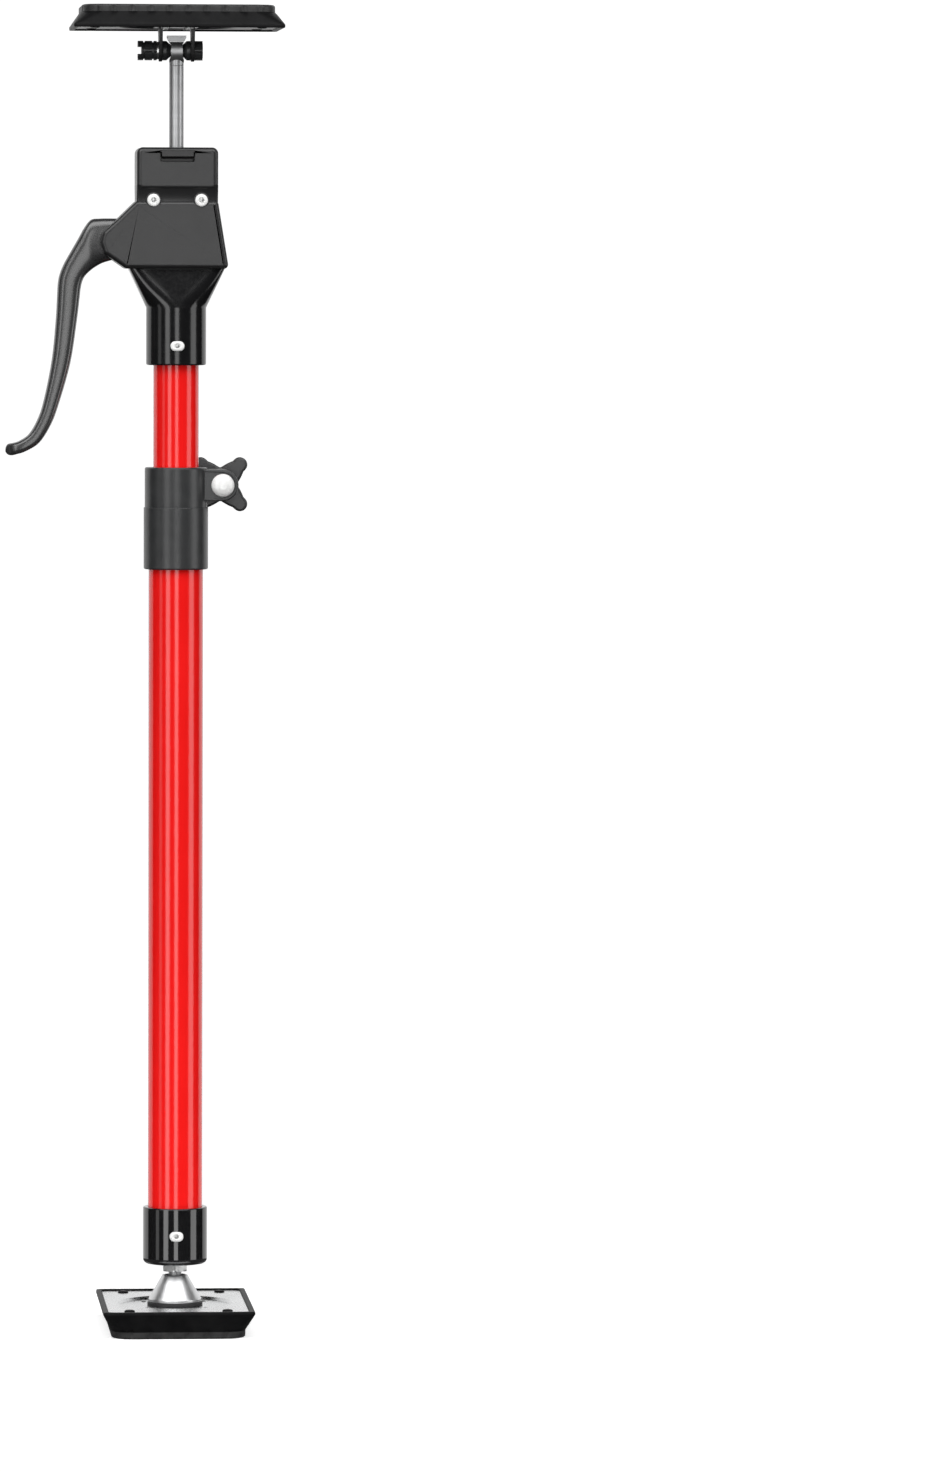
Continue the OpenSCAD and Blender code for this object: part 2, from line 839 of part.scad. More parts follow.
module clamp_knob() {
    color("#3a3d3f")
        translate([clamp_x, 0, clamp_z])
            along_y()
                difference() {
                    union() {
                        translate([0, 0, arm_z])
                            linear_extrude(height = arm_t)
                                knob_outline();
                        translate([0, 0, knob_z])
                            cylinder(r = knob_hub_r, h = knob_top - knob_z);
                    }
                    translate([0, 0, knob_z - overrun])
                        cylinder(d = clamp_bolt_d + 2 * small_gap, h = knob_top);
                    translate([0, 0, clamp_nut_z])
                        cylinder(r = clamp_nut_af / sqrt(3) + small_gap, h = clamp_nut_h + overrun, $fn = 6);
                }
}

module clamp_nut() {
    color("#b9bcc0")
        translate([clamp_x, clamp_nut_z, clamp_z])
            along_y()
                hex_nut(clamp_nut_af, clamp_bolt_d / 2 + run_fit, clamp_nut_h);
}

// Grip housing

// A flat body with rounded outline and a rounded front edge, from the split plane forwards
module slab(corners, corner_r, depth) {
    hull()
        for (p = corners, a = [0, 30, 60, 90])
            translate([p[0], 0, p[1]])
                along_front()
                    cylinder(
                        r = corner_r - slab_edge * (1 - cos(a)),
                        h = depth - slab_edge * (1 - sin(a)),
                        $fn = hull_fn
                    );
}

// Corners of a box between two levels, drawn in by the corner radius
function box_corners(half_w, low, high, r) =
    [[-half_w + r, low + r], [half_w - r, low + r], [half_w - r, high - r], [-half_w + r, high - r]];

// The face plate with the cheek that carries the lever, as shares of its size
function face_corners(r) = [
    [-box_w / 2 + r, face_top - r],
    [box_w / 2 - r, face_top - r],
    [face_w / 2 - r, face_z + r],
    [-face_w / 2 + r, face_z + r],
    [-cheek_reach * 0.95 + r, face_z + face_h * 0.267],
    [-cheek_reach + r, face_z + face_h * 0.385],
    [-cheek_reach * 0.97 + r, face_z + face_h * 0.534 - r / 2],
    [-cheek_reach * 0.75 + r, face_z + face_h * 0.758 - r / 2]
];

module housing_body() {
    face_corner = slab_edge + 0.2 * slab_edge;
    funnel_half_d = face_d / 2 - band_inset;
    slab(box_corners(box_w / 2, face_top + band_h, box_top, slab_corner), slab_corner, box_d / 2);
    slab(
        box_corners(box_w / 2, face_top - band_h, face_top + 2 * band_h, slab_corner),
        slab_corner, face_d / 2 - band_inset
    );
    slab(face_corners(face_corner), face_corner, face_d / 2);
    for (x = [-1, 1])
        translate([x * rivet_x, 0, rivet_z])
            along_front()
                cylinder(r = rivet_boss_r, h = face_d / 2);
    intersection() {
        union() {
            hull() {
                translate([0, 0, face_z])
                    linear_extrude(height = band_inset)
                        round_rect(face_w - 2 * slab_edge, 2 * funnel_half_d, slab_corner, $fn = hull_fn);
                translate([0, 0, neck_top - slab_edge])
                    cylinder(r = neck_r, h = slab_edge, $fn = 2 * hull_fn);
            }
            translate([0, 0, neck_z])
                cylinder(r = neck_r, h = neck_h);
        }
        translate([-face_w, -box_d, 0])
            cube([2 * face_w, box_d, box_top]);
    }
}

// Everything that is hollow inside the housing, the same in both halves
module housing_rooms() {
    slot_h = hub_r + hub_room;
    translate([0, 0, neck_z - overrun])
        cylinder(r = upper_r + seat_fit, h = tube_in_neck + rod_guide_flange + small_gap + overrun);
    translate([0, 0, neck_z])
        cylinder(r = rod_bore_r, h = box_top - neck_z + overrun);
    translate([-pivot_x, -slot_half, pivot_z])
        along_y()
            cylinder(r = slot_h, h = 2 * slot_half);
    translate([-cheek_reach - overrun, -slot_half, face_z + band_inset])
        cube([cheek_reach + overrun - pivot_x, 2 * slot_half, pivot_z + slot_h - face_z - band_inset]);
    translate([-pivot_x, -slot_half, room_floor])
        cube([pivot_x - drive_left, 2 * slot_half, pivot_z + slot_h - room_floor]);
    translate([-drive_left - overrun, -drive_half_w - overrun, room_floor])
        cube([drive_left + overrun + ledge_x, 2 * (drive_half_w + overrun), mid_wall_z - room_floor]);
    translate([0, -drive_half_w - overrun, drive_z - free_gap])
        cube([drive_right + overrun, 2 * (drive_half_w + overrun), mid_wall_z - drive_z + free_gap]);
    translate([0, 0, mid_wall_z - overrun])
        cylinder(r = spring_pocket_r, h = spring_pocket + overrun);
    translate([-room_half_w, lock_pivot_y + ledge_half - small_gap / 2, upper_room_z])
        cube([2 * room_half_w, room_rear - lock_pivot_y, roof_z - upper_room_z]);
    translate([0, lock_spring_y, roof_z - overrun])
        cylinder(r = lock_spring_r + lock_wire, h = lock_pocket + overrun);
    translate([-pivot_x, -pin_l() / 2, pivot_z])
        along_y()
            cylinder(d = pin_d + 2 * seat_fit, h = pin_l());
    for (x = [-1, 1])
        translate([x * rivet_x, -box_d, rivet_z])
            along_y()
                cylinder(d = rivet_d + 2 * seat_fit, h = 2 * box_d);
}

function pin_l() = face_d - 5;

// The window for the release tab, with the ledge that the lock plate rocks on behind it
module tab_window() {
    half_w = lock_half_w + free_gap;
    ledge_y = lock_pivot_y - ledge_half;
    translate([-half_w, -box_d, roof_z - tab_window_h])
        cube([2 * half_w, box_d + ledge_y, tab_window_h]);
    translate([-half_w, ledge_y - overrun, lock_z - small_gap])
        cube([2 * half_w, overrun + 3 * ledge_half, roof_z - lock_z + small_gap]);
}

module housing_front() {
    color("#2c2d2f")
        difference() {
            housing_body();
            housing_rooms();
            tab_window();
            translate([0, 0, neck_rivet_z()])
                blind_rivet_hole(neck_r);
        }
}

module housing_rear() {
    color("#2c2d2f")
        difference() {
            mirror([0, 1, 0])
                housing_body();
            housing_rooms();
        }
}

module housing_rivets() {
    color("#f2f2f2")
        for (x = [-1, 1])
            translate([x * rivet_x, 0, rivet_z]) {
                translate([0, -face_d / 2, 0])
                    along_y()
                        cylinder(d = rivet_d, h = face_d);
                for (side = [0, 1])
                    mirror([0, side, 0])
                        translate([0, -face_d / 2, 0])
                            along_front()
                                dome(rivet_head_d / 2, housing_rivet_h);
            }
}

module neck_rivet() {
    color("#f2f2f2")
        translate([0, 0, neck_rivet_z()])
            blind_rivet(neck_r, upper_in_r);
}

module rod_guide_bush() {
    color("#2b2b2e")
        difference() {
            union() {
                translate([0, 0, upper_tube_top - rod_guide_l])
                    cylinder(r = upper_in_r - run_fit, h = rod_guide_l);
                translate([0, 0, upper_tube_top])
                    cylinder(r = upper_r, h = rod_guide_flange);
            }
            translate([0, 0, neck_z])
                cylinder(r = rod_r + run_fit, h = neck_h);
        }
}

// Lever

module lever_pin() {
    color("#c4c7ca")
        translate([-pivot_x, -pin_l() / 2, pivot_z])
            along_y()
                cylinder(d = pin_d, h = pin_l());
}

// The grip's spine, as shares: across the reach, down the drop, and half width as a share of the grip's width
spine_shares = [
    [0.20, 0.045, 0.66],
    [0.33, 0.088, 0.58],
    [0.43, 0.178, 0.50],
    [0.477, 0.280, 0.40],
    [0.497, 0.398, 0.354],
    [0.545, 0.585, 0.314],
    [0.632, 0.771, 0.246],
    [0.700, 0.867, 0.236],
    [0.798, 0.949, 0.222],
    [0.910, 0.986, 0.207],
    [1.000, 1.000, 0.230]
];
spine_steps = 4;
grip_sides = 16;
squareness = 0.72;

// Catmull-Rom through the spine, one value at a time
function spline(a, b, c, d, t) =
    0.5 * (2 * b + (c - a) * t + (2 * a - 5 * b + 4 * c - d) * t * t + (3 * b - a - 3 * c + d) * t * t * t);

function spine_at(i, t) =
    let (
        n = len(spine_shares) - 1,
        a = spine_shares[max(i - 1, 0)],
        b = spine_shares[i],
        c = spine_shares[min(i + 1, n)],
        d = spine_shares[min(i + 2, n)]
    )
    [
        -lever_reach * spline(a[0], b[0], c[0], d[0], t),
        -lever_drop * spline(a[1], b[1], c[1], d[1], t),
        grip_w * spline(a[2], b[2], c[2], d[2], t)
    ];

function rounded(v) = sign(v) * pow(abs(v), squareness);

// The grip: a rounded section carried along the spine, closed by its end rings
module grip_blade() {
    last = len(spine_shares) - 1;
    path = concat(
        [for (i = [0:last - 1], k = [0:spine_steps - 1]) spine_at(i, k / spine_steps)],
        [spine_at(last, 0)]
    );
    n = len(path) - 1;
    m = grip_sides;
    points = [
        for (i = [0:n])
            let (
                p = path[i],
                q = path[min(i + 1, n)] - path[max(i - 1, 0)],
                s = norm([q[0], q[1]]),
                side = [-q[1] / s, q[0] / s],
                half_t = grip_w / 2 * (i > n - 2 ? 0.8 : 1)
            )
            for (j = [0:m - 1])
                let (c = rounded(cos(360 * j / m)) * p[2], y = rounded(sin(360 * j / m)) * half_t)
                [p[0] + side[0] * c, y, p[1] + side[1] * c]
    ];
    walls = [
        for (i = [0:n - 1], j = [0:m - 1])
            let (a = i * m + j, b = i * m + (j + 1) % m)
            for (f = [[a, b, a + m], [b, b + m, a + m]]) f
    ];
    near_end = [[for (j = [m - 1:-1:0]) j]];
    far_end = [[for (j = [0:m - 1]) n * m + j]];
    polyhedron(points = points, faces = concat(walls, near_end, far_end));
}

// The web that joins the hub to the grip, with a square shoulder at its upper left
module web_outline() {
    circle(r = hub_r);
    polygon([
        [0, hub_r],
        [-lever_reach * 0.24, hub_r],
        [-lever_reach * 0.31, hub_r * 0.45],
        [-lever_reach * 0.40, -hub_r * 0.75],
        [-lever_reach * 0.30, -hub_r * 1.72],
        [-lever_reach * 0.14, -hub_r * 1.38],
        [-hub_r * 0.42, -hub_r * 0.88]
    ]);
}

module grip_lever() {
    tip_r = grip_w * 0.24;
    arm_start = [4 * nose_l / 20, -nose_l / 4];
    color("#161618")
        translate([-pivot_x, 0, pivot_z])
            difference() {
                union() {
                    slice_xz(web_t)
                        web_outline();
                    grip_blade();
                    hull()
                        for (p = [arm_start, [nose_l * cos(nose_rest), nose_l * sin(nose_rest)]])
                            translate([p[0], -web_t / 2, p[1]])
                                along_y()
                                    cylinder(r = nose_r, h = web_t, $fn = hull_fn);
                    translate([-lever_reach, -grip_w * 0.4, -lever_drop])
                        along_y()
                            cylinder(r = tip_r, h = grip_w * 0.8);
                }
                translate([0, -web_t, 0])
                    along_y()
                        cylinder(d = pin_d + 2 * run_fit, h = 2 * web_t);
            }
}

// Jaws and springs round the rod

module drive_plate() {
    color("#9b9ea2")
        translate([0, 0, drive_z])
            difference() {
                translate([(drive_right - drive_left) / 2, 0, 0])
                    linear_extrude(height = drive_plate_t)
                        round_rect(drive_left + drive_right, 2 * drive_half_w, drive_plate_t);
                translate([0, 0, -overrun])
                    cylinder(r = rod_bore_r, h = drive_plate_t + 2 * overrun);
            }
}

module drive_spring() {
    bottom = drive_z + drive_plate_t + small_gap;
    color("#b5b8bb")
        translate([0, 0, bottom])
            coil(drive_spring_r, drive_wire, mid_wall_z + spring_pocket - small_gap - bottom, 5);
}

// Lock plate: slopes down to the back at rest, rocks on the ledge, its front end turned up as the release tab
module lock_plate() {
    front = box_d / 2 + lock_pivot_y + tab_out;
    rear = lock_rear - lock_pivot_y;
    color("#8d9094")
        translate([0, lock_pivot_y, lock_z])
            rotate([-lock_slope, 0, 0])
                difference() {
                    union() {
                        translate([-lock_half_w, -front, 0])
                            cube([2 * lock_half_w, front + rear, lock_plate_t]);
                        translate([-lock_half_w, -front - tab_lip_t, 0])
                            cube([2 * lock_half_w, tab_lip_t, tab_lip_h - tab_out]);
                    }
                    translate([0, -lock_pivot_y / cos(lock_slope), -overrun])
                        cylinder(r = rod_bore_r + small_gap, h = lock_plate_t + 2 * overrun);
                }
}

module lock_spring() {
    plate_under = (lock_spring_y - lock_pivot_y) * tan(lock_slope);
    bottom = lock_z + lock_plate_t - plate_under + 2 * free_gap;
    color("#b5b8bb")
        translate([0, lock_spring_y, bottom])
            coil(lock_spring_r, lock_wire, roof_z + lock_pocket - small_gap - bottom, 3);
}

// Lift rod and its fittings

module lift_rod() {
    color("#e2e4e6")
        difference() {
            union() {
                translate([0, 0, rod_bottom])
                    cylinder(r = rod_r, h = rod_top - rod_bottom);
                translate([0, 0, rod_top])
                    cylinder(r = rod_r * spigot_share, h = spigot_l);
            }
            translate([0, 0, rod_bottom + stop_ring_up])
                ring(rod_r + overrun, rod_r - groove_depth, stop_ring_t + 2 * small_gap);
        }
}

module rod_stop_ring() {
    color("#5c5f63")
        translate([0, 0, rod_bottom + stop_ring_up + small_gap])
            ring(stop_ring_r, rod_r - groove_depth + run_fit, stop_ring_t);
}

// Rod eye: waisted seen from the front, a round eye seen from the side
module rod_eye() {
    low = tilt_z - rod_top;
    color("#dfe1e3")
        translate([0, 0, tilt_z])
            difference() {
                intersection() {
                    slice_xz(4 * eye_disc_r)
                        polygon([
                            [-rod_r, -low], [rod_r, -low], [rod_r, -low * 0.64], [eye_waist, -eye_top * 0.4],
                            [eye_waist, eye_top * 0.4], [eye_top_half, eye_top * 0.84], [eye_top_half, eye_top],
                            [-eye_top_half, eye_top], [-eye_top_half, eye_top * 0.84],
                            [-eye_waist, eye_top * 0.4], [-eye_waist, -eye_top * 0.4], [-rod_r, -low * 0.64]
                        ]);
                    union() {
                        translate([-eye_disc_r, 0, 0])
                            along_x()
                                cylinder(r = eye_disc_r, h = 2 * eye_disc_r);
                        translate([-eye_disc_r, -eye_top_y, 0])
                            cube([2 * eye_disc_r, 2 * eye_top_y, eye_top]);
                        translate([0, 0, -low])
                            cylinder(r = rod_r, h = low);
                    }
                }
                translate([-eye_disc_r, 0, 0])
                    along_x()
                        cylinder(d = tilt_bolt_d + 2 * run_fit, h = 2 * eye_disc_r);
                translate([0, 0, -low - overrun])
                    cylinder(r = rod_r * spigot_share + seat_fit, h = spigot_l + overrun + small_gap);
            }
}

module cone_washers() {
    inner = eye_waist + small_gap;
    outer = fork_in - small_gap;
    color("#121214")
        translate([0, 0, tilt_z])
            for (side = [0, 1])
                mirror([side, 0, 0])
                    along_x()
                        rotate_extrude()
                            polygon([
                                [tilt_bolt_d / 2 + run_fit, inner], [cone_tip_r, inner],
                                [head_knob_d / 2, inner + cone_l], [head_knob_d / 2, outer],
                                [tilt_bolt_d / 2 + run_fit, outer]
                            ]);
}

// Outline of a bracket ear in Y and Z, measured from the tilt axis
module ear_outline() {
    circle(r = fork_ear_r);
    polygon([
        [-fork_ear_r, 0], [fork_ear_r, 0], [fork_root_y, base_up - base_t],
        [fork_root_y, base_up + base_t / 2], [-fork_root_y, base_up + base_t / 2],
        [-fork_root_y, base_up - base_t]
    ]);
}

module head_bracket() {
    color("#1d1d1f")
        translate([0, 0, tilt_z])
            difference() {
                union() {
                    translate([0, 0, base_up])
                        linear_extrude(height = base_t)
                            round_rect(2 * base_half_x, 2 * base_half_y, bracket_t);
                    for (side = [-1, 1])
                        translate([side * (fork_in + bracket_t / 2), 0, 0])
                            slice_yz(bracket_t)
                                ear_outline();
                }
                translate([-fork_out - overrun, 0, 0])
                    along_x()
                        cylinder(d = tilt_bolt_d + 2 * run_fit, h = 2 * (fork_out + overrun));
                at_bracket_rivets()
                    translate([0, 0, base_up - overrun])
                        cylinder(d = bracket_rivet_d + 2 * seat_fit, h = base_t + 2 * overrun);
            }
}

module at_bracket_rivets() {
    for (x = [-1, 1], y = [-1, 1])
        translate([x * bracket_rivet_x, y * bracket_rivet_y, 0])
            children();
}

// The head's plate and pad are the foot's, turned over and turned a quarter
module on_head() {
    translate([0, 0, head_top])
        rotate([180, 0, 90])
            children();
}

module head_plate() {
    color("#c9cbce")
        difference() {
            on_head()
                pressed_plate(head_pad_h, bracket_rivet_d / 2);
            at_bracket_rivets()
                translate([0, 0, head_panel_z - overrun])
                    cylinder(d = bracket_rivet_d + 2 * seat_fit, h = plate_t + 2 * overrun);
        }
}

module bracket_rivets() {
    under_h = 0.9 * bracket_rivet_d / 3;
    stack = base_t + plate_t;
    color("#b9bcc0")
        at_bracket_rivets() {
            translate([0, 0, base_z - under_h])
                cylinder(d = bracket_rivet_d * 1.6, h = under_h);
            translate([0, 0, base_z - under_h])
                cylinder(d = bracket_rivet_d, h = stack + 2 * under_h);
            translate([0, 0, base_z + stack])
                cylinder(d = bracket_rivet_d * 1.6, h = under_h);
        }
}

module head_bolt() {
    color("#c4c7ca")
        translate([0, 0, tilt_z])
            mirror([1, 0, 0])
                along_x() {
                    translate([0, 0, -fork_out])
                        cylinder(d = tilt_bolt_d, h = fork_out + head_knob_x + 0.7 * head_knob_l);
                    translate([0, 0, -fork_out - hex_h])
                        cylinder(r = tilt_bolt_d * 0.9, h = hex_h, $fn = 6);
                }
}

// Outline of the knob and the cap: a circle with six scallops
module scalloped(d) {
    difference() {
        circle(d = d);
        for (a = [30:60:330])
            rotate(a)
                translate([d * 0.56, 0])
                    circle(d = d * 0.27);
    }
}

module head_cap() {
    color("#121214")
        translate([fork_out + small_gap / 2, 0, tilt_z])
            along_x()
                difference() {
                    linear_extrude(height = head_cap_l)
                        scalloped(head_knob_d);
                    translate([0, 0, -overrun])
                        cylinder(r = tilt_bolt_d * 0.9 + small_gap, h = hex_h + overrun, $fn = 6);
                }
}

module head_washer() {
    color("#b9bcc0")
        translate([-head_washer_x - head_washer_t, 0, tilt_z])
            along_x()
                ring(head_knob_d * 0.45, tilt_bolt_d / 2 + run_fit, head_washer_t);
}

// The knob has two turned grooves and a slot across its outer end
module head_knob() {
    r = head_knob_d / 2;
    groove = 0.07 * head_knob_d;
    slot_w = 0.36 * head_knob_d;
    slot_l = 0.19 * head_knob_l;
    color("#121214")
        translate([-head_knob_x - head_knob_l, 0, tilt_z])
            along_x()
                difference() {
                    linear_extrude(height = head_knob_l)
                        scalloped(head_knob_d);
                    translate([0, 0, slot_l + overrun - small_gap])
                        cylinder(d = tilt_bolt_d + 2 * run_fit, h = head_knob_l);
                    for (share = [0.33, 0.8])
                        translate([0, 0, share * head_knob_l - groove / 2])
                            ring(r + overrun, r - groove, groove);
                    translate([-slot_w / 2, -head_knob_d, -overrun])
                        cube([slot_w, 2 * head_knob_d, slot_l + overrun]);
                }
}

module head_pad() {
    color("#1b1b1b") on_head() rubber_pad(head_pad_h);
}

foot_pad();
thrust_disc();
foot_plate();
backing_ring();
foot_rivets();
ball_bell();
bell_gasket();
ball_seat();
ball_stud();
foot_lock_nut();
foot_inner_nut();
lower_end_cap();
lower_cap_rivet();
lower_tube();
clamp_collar();
collar_bush();
clamp_bolt();
clamp_washer();
clamp_knob();
clamp_nut();
tube_guide_bush();
upper_tube();
housing_front();
housing_rear();
housing_rivets();
neck_rivet();
rod_guide_bush();
lever_pin();
grip_lever();
drive_plate();
drive_spring();
lock_plate();
lock_spring();
lift_rod();
rod_stop_ring();
rod_eye();
cone_washers();
head_bracket();
bracket_rivets();
head_plate();
head_bolt();
head_cap();
head_washer();
head_knob();
head_pad();
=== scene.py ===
"""Looks of a short telescopic support pole: red tubes, a pump grip, a chromed lift rod and two rubber pads."""
import bmesh
import bpy
import numpy as np
from mathutils import Matrix, Vector


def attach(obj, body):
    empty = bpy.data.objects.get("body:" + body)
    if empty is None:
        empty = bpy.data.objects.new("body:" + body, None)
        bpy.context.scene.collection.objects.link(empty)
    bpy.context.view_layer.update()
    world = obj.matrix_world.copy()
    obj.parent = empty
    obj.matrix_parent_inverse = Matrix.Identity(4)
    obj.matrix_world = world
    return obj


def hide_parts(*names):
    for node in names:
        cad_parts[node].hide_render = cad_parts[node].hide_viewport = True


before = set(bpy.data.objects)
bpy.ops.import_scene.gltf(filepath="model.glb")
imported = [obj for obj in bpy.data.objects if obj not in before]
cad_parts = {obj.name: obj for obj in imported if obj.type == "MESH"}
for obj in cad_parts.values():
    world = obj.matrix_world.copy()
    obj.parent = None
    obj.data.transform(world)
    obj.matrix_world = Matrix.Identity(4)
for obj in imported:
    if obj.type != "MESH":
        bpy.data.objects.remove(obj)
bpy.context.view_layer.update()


# Finishes

def new_finish(name):
    """An empty surface finish: the material, its node list, its links and its shader."""
    material = bpy.data.materials.new(name)
    material.use_nodes = True
    tree = material.node_tree
    return material, tree.nodes, tree.links, tree.nodes["Principled BSDF"]


def grain(nodes, links, cell, detail=3.0, stretch=(1, 1, 1)):
    """Noise over the piece's own coordinates, with cells of about `cell` metres."""
    where = nodes.new("ShaderNodeTexCoord")
    noise = nodes.new("ShaderNodeTexNoise")
    turn = nodes.new("ShaderNodeMapping")
    turn.inputs["Scale"].default_value = stretch
    noise.inputs["Scale"].default_value = 1.0 / cell
    noise.inputs["Detail"].default_value = detail
    links.new(where.outputs["Object"], turn.inputs["Vector"])
    links.new(turn.outputs["Vector"], noise.inputs["Vector"])
    return noise.outputs["Fac"]


def between(nodes, links, value, low, high, start=0.3, stop=0.7):
    """Carries a noise value from start..stop to low..high."""
    span = nodes.new("ShaderNodeMapRange")
    span.inputs["From Min"].default_value = start
    span.inputs["From Max"].default_value = stop
    span.inputs["To Min"].default_value = low
    span.inputs["To Max"].default_value = high
    links.new(value, span.inputs["Value"])
    return span.outputs["Result"]


def two_tones(nodes, links, value, first, second):
    """Mixes two colours by a value."""
    mix = nodes.new("ShaderNodeMix")
    mix.data_type = "RGBA"
    mix.inputs["A"].default_value = (*first, 1)
    mix.inputs["B"].default_value = (*second, 1)
    links.new(value, mix.inputs["Factor"])
    return mix.outputs["Result"]


def relief(nodes, links, height, depth, shader):
    """Presses a height pattern of `depth` metres into the surface."""
    bump = nodes.new("ShaderNodeBump")
    bump.inputs["Distance"].default_value = depth
    links.new(height, bump.inputs["Height"])
    links.new(bump.outputs["Normal"], shader.inputs["Normal"])


def surface(name, first, second, rough, cell, tone_cell, depth, metal=0.0, specular=0.5, coat=0.0,
            coat_rough=0.03, stretch=(1, 1, 1)):
    """A finish with two close tones, a roughness that wanders and a fine relief."""
    material, nodes, links, shader = new_finish(name)
    shader.inputs["Metallic"].default_value = metal
    shader.inputs["Specular IOR Level"].default_value = specular
    shader.inputs["Coat Weight"].default_value = coat
    shader.inputs["Coat Roughness"].default_value = coat_rough
    shader.inputs["Coat IOR"].default_value = 1.6
    tone = between(nodes, links, grain(nodes, links, tone_cell, 4.0, stretch), 0.0, 1.0)
    links.new(two_tones(nodes, links, tone, first, second), shader.inputs["Base Color"])
    fine = grain(nodes, links, cell, 2.0, stretch)
    links.new(between(nodes, links, fine, rough[0], rough[1]), shader.inputs["Roughness"])
    relief(nodes, links, fine, depth, shader)
    return material


red_coat = surface("red_powder_coat", (0.86, 0.0100, 0.0094), (0.92, 0.0120, 0.0112), (0.13, 0.15), 0.0011, 0.03,
                   0.0000015, specular=0.55)
gloss_black = surface("gloss_black_moulding", (0.0065, 0.0065, 0.007), (0.010, 0.010, 0.0105), (0.06, 0.10), 0.002,
                      0.012, 0.000002, specular=0.75)
housing_black = surface("satin_housing_moulding", (0.012, 0.012, 0.0125), (0.016, 0.016, 0.0165), (0.30, 0.38),
                        0.0006, 0.015, 0.000008, specular=0.52)
lever_black = surface("lever_moulding", (0.026, 0.026, 0.0265), (0.034, 0.034, 0.0345), (0.27, 0.285), 0.0008, 0.014,
                      0.000001, specular=1.0)
funnel_black = surface("funnel_moulding", (0.006, 0.006, 0.0065), (0.009, 0.009, 0.0095), (0.13, 0.18), 0.002, 0.012,
                       0.000003, specular=0.5)
bracket_black = surface("bracket_powder_coat", (0.014, 0.014, 0.0145), (0.022, 0.022, 0.0225), (0.32, 0.42), 0.0008,
                        0.012, 0.00001)
grained_nylon = surface("grained_black_nylon", (0.026, 0.027, 0.028), (0.036, 0.037, 0.038), (0.28, 0.36), 0.0005,
                        0.008, 0.00004)
pad_rubber = surface("pad_rubber", (0.005, 0.005, 0.0054), (0.009, 0.009, 0.0094),
                     (0.40, 0.54), 0.0008, 0.010, 0.00003, specular=0.1)
# The pad's rubber again with a lighter base colour and more specular: a painted sheen where the upright lower band
# catches the light.
painted_sheen_rubber = surface("tread_rubber_painted_sheen", (0.020, 0.020, 0.0205), (0.040, 0.040, 0.0405),
                      (0.34, 0.50), 0.0007, 0.006, 0.00003, specular=0.3)
soft_seal = surface("seal_rubber", (0.010, 0.010, 0.011), (0.018, 0.018, 0.019), (0.5, 0.65), 0.0006, 0.006, 0.00003)
bright_chrome = surface("bright_chrome", (0.68, 0.685, 0.69), (0.74, 0.745, 0.75),
                        (0.13, 0.20), 0.003, 0.03, 0.000004, metal=1.0)
bell_chrome = surface("satin_bell_chrome", (0.68, 0.685, 0.69), (0.74, 0.745, 0.75),
                      (0.34, 0.42), 0.003, 0.03, 0.000004, metal=1.0)
rod_chrome = surface("ground_chrome_rod", (0.47, 0.475, 0.48), (0.53, 0.535, 0.54), (0.38, 0.48), 0.0008, 0.02,
                     0.000008, metal=1.0, stretch=(1, 1, 6))
zinc_sheet = surface("bright_zinc_sheet", (0.60, 0.605, 0.61), (0.70, 0.705, 0.71), (0.22, 0.34), 0.0012, 0.02,
                     0.000012, metal=1.0)
zinc_steel = surface("zinc_plated_steel", (0.58, 0.585, 0.58), (0.68, 0.685, 0.68), (0.28, 0.42), 0.0009, 0.006,
                     0.00002, metal=1.0)
spring_steel = surface("oiled_spring_steel", (0.42, 0.42, 0.42), (0.50, 0.50, 0.50), (0.30, 0.42), 0.0009, 0.006,
                       0.00002, metal=1.0)
guide_plastic = surface("guide_bush_nylon", (0.020, 0.020, 0.022), (0.032, 0.032, 0.034), (0.45, 0.6), 0.0008, 0.01,
                        0.00003)
white_lacquer = surface("white_lacquered_rivet", (0.83, 0.83, 0.82), (0.90, 0.90, 0.89), (0.22, 0.34), 0.0012, 0.004,
                        0.00002, coat=0.3)

node_finishes = {
    red_coat: "lower_tube upper_tube",
    gloss_black: "lower_end_cap",
    lever_black: "grip_lever",
    housing_black: "housing_front housing_rear lock_plate",
    bracket_black: "head_bracket head_plate",
    grained_nylon: "clamp_collar clamp_knob head_knob head_cap cone_washers",
    pad_rubber: "foot_pad head_pad",
    soft_seal: "bell_gasket",
    bright_chrome: "head_bolt",
    bell_chrome: "ball_bell",
    rod_chrome: "lift_rod rod_eye ball_stud",
    zinc_sheet: "foot_plate",
    zinc_steel: "thrust_disc backing_ring foot_rivets foot_lock_nut foot_inner_nut clamp_washer clamp_nut lever_pin"
                " drive_plate rod_stop_ring bracket_rivets head_washer",
    spring_steel: "drive_spring lock_spring",
    guide_plastic: "ball_seat collar_bush tube_guide_bush rod_guide_bush",
    white_lacquer: "clamp_bolt lower_cap_rivet neck_rivet housing_rivets",
}
for finish, names in node_finishes.items():
    for name in names.split():
        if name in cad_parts:
            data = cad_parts[name].data
            data.materials.clear()
            data.materials.append(finish)


# Shaping

def grid_quads(rows, columns, close_rows, close_columns):
    """Four-sided faces between neighbouring rows and columns of a grid, closed round where asked."""
    r = np.arange(rows if close_rows else rows - 1)[:, None]
    c = np.arange(columns if close_columns else columns - 1)[None, :]
    below, right = (r + 1) % rows, (c + 1) % columns
    return np.stack([r * columns + c, r * columns + right, below * columns + right, below * columns + c],
                    -1).reshape(-1, 4)


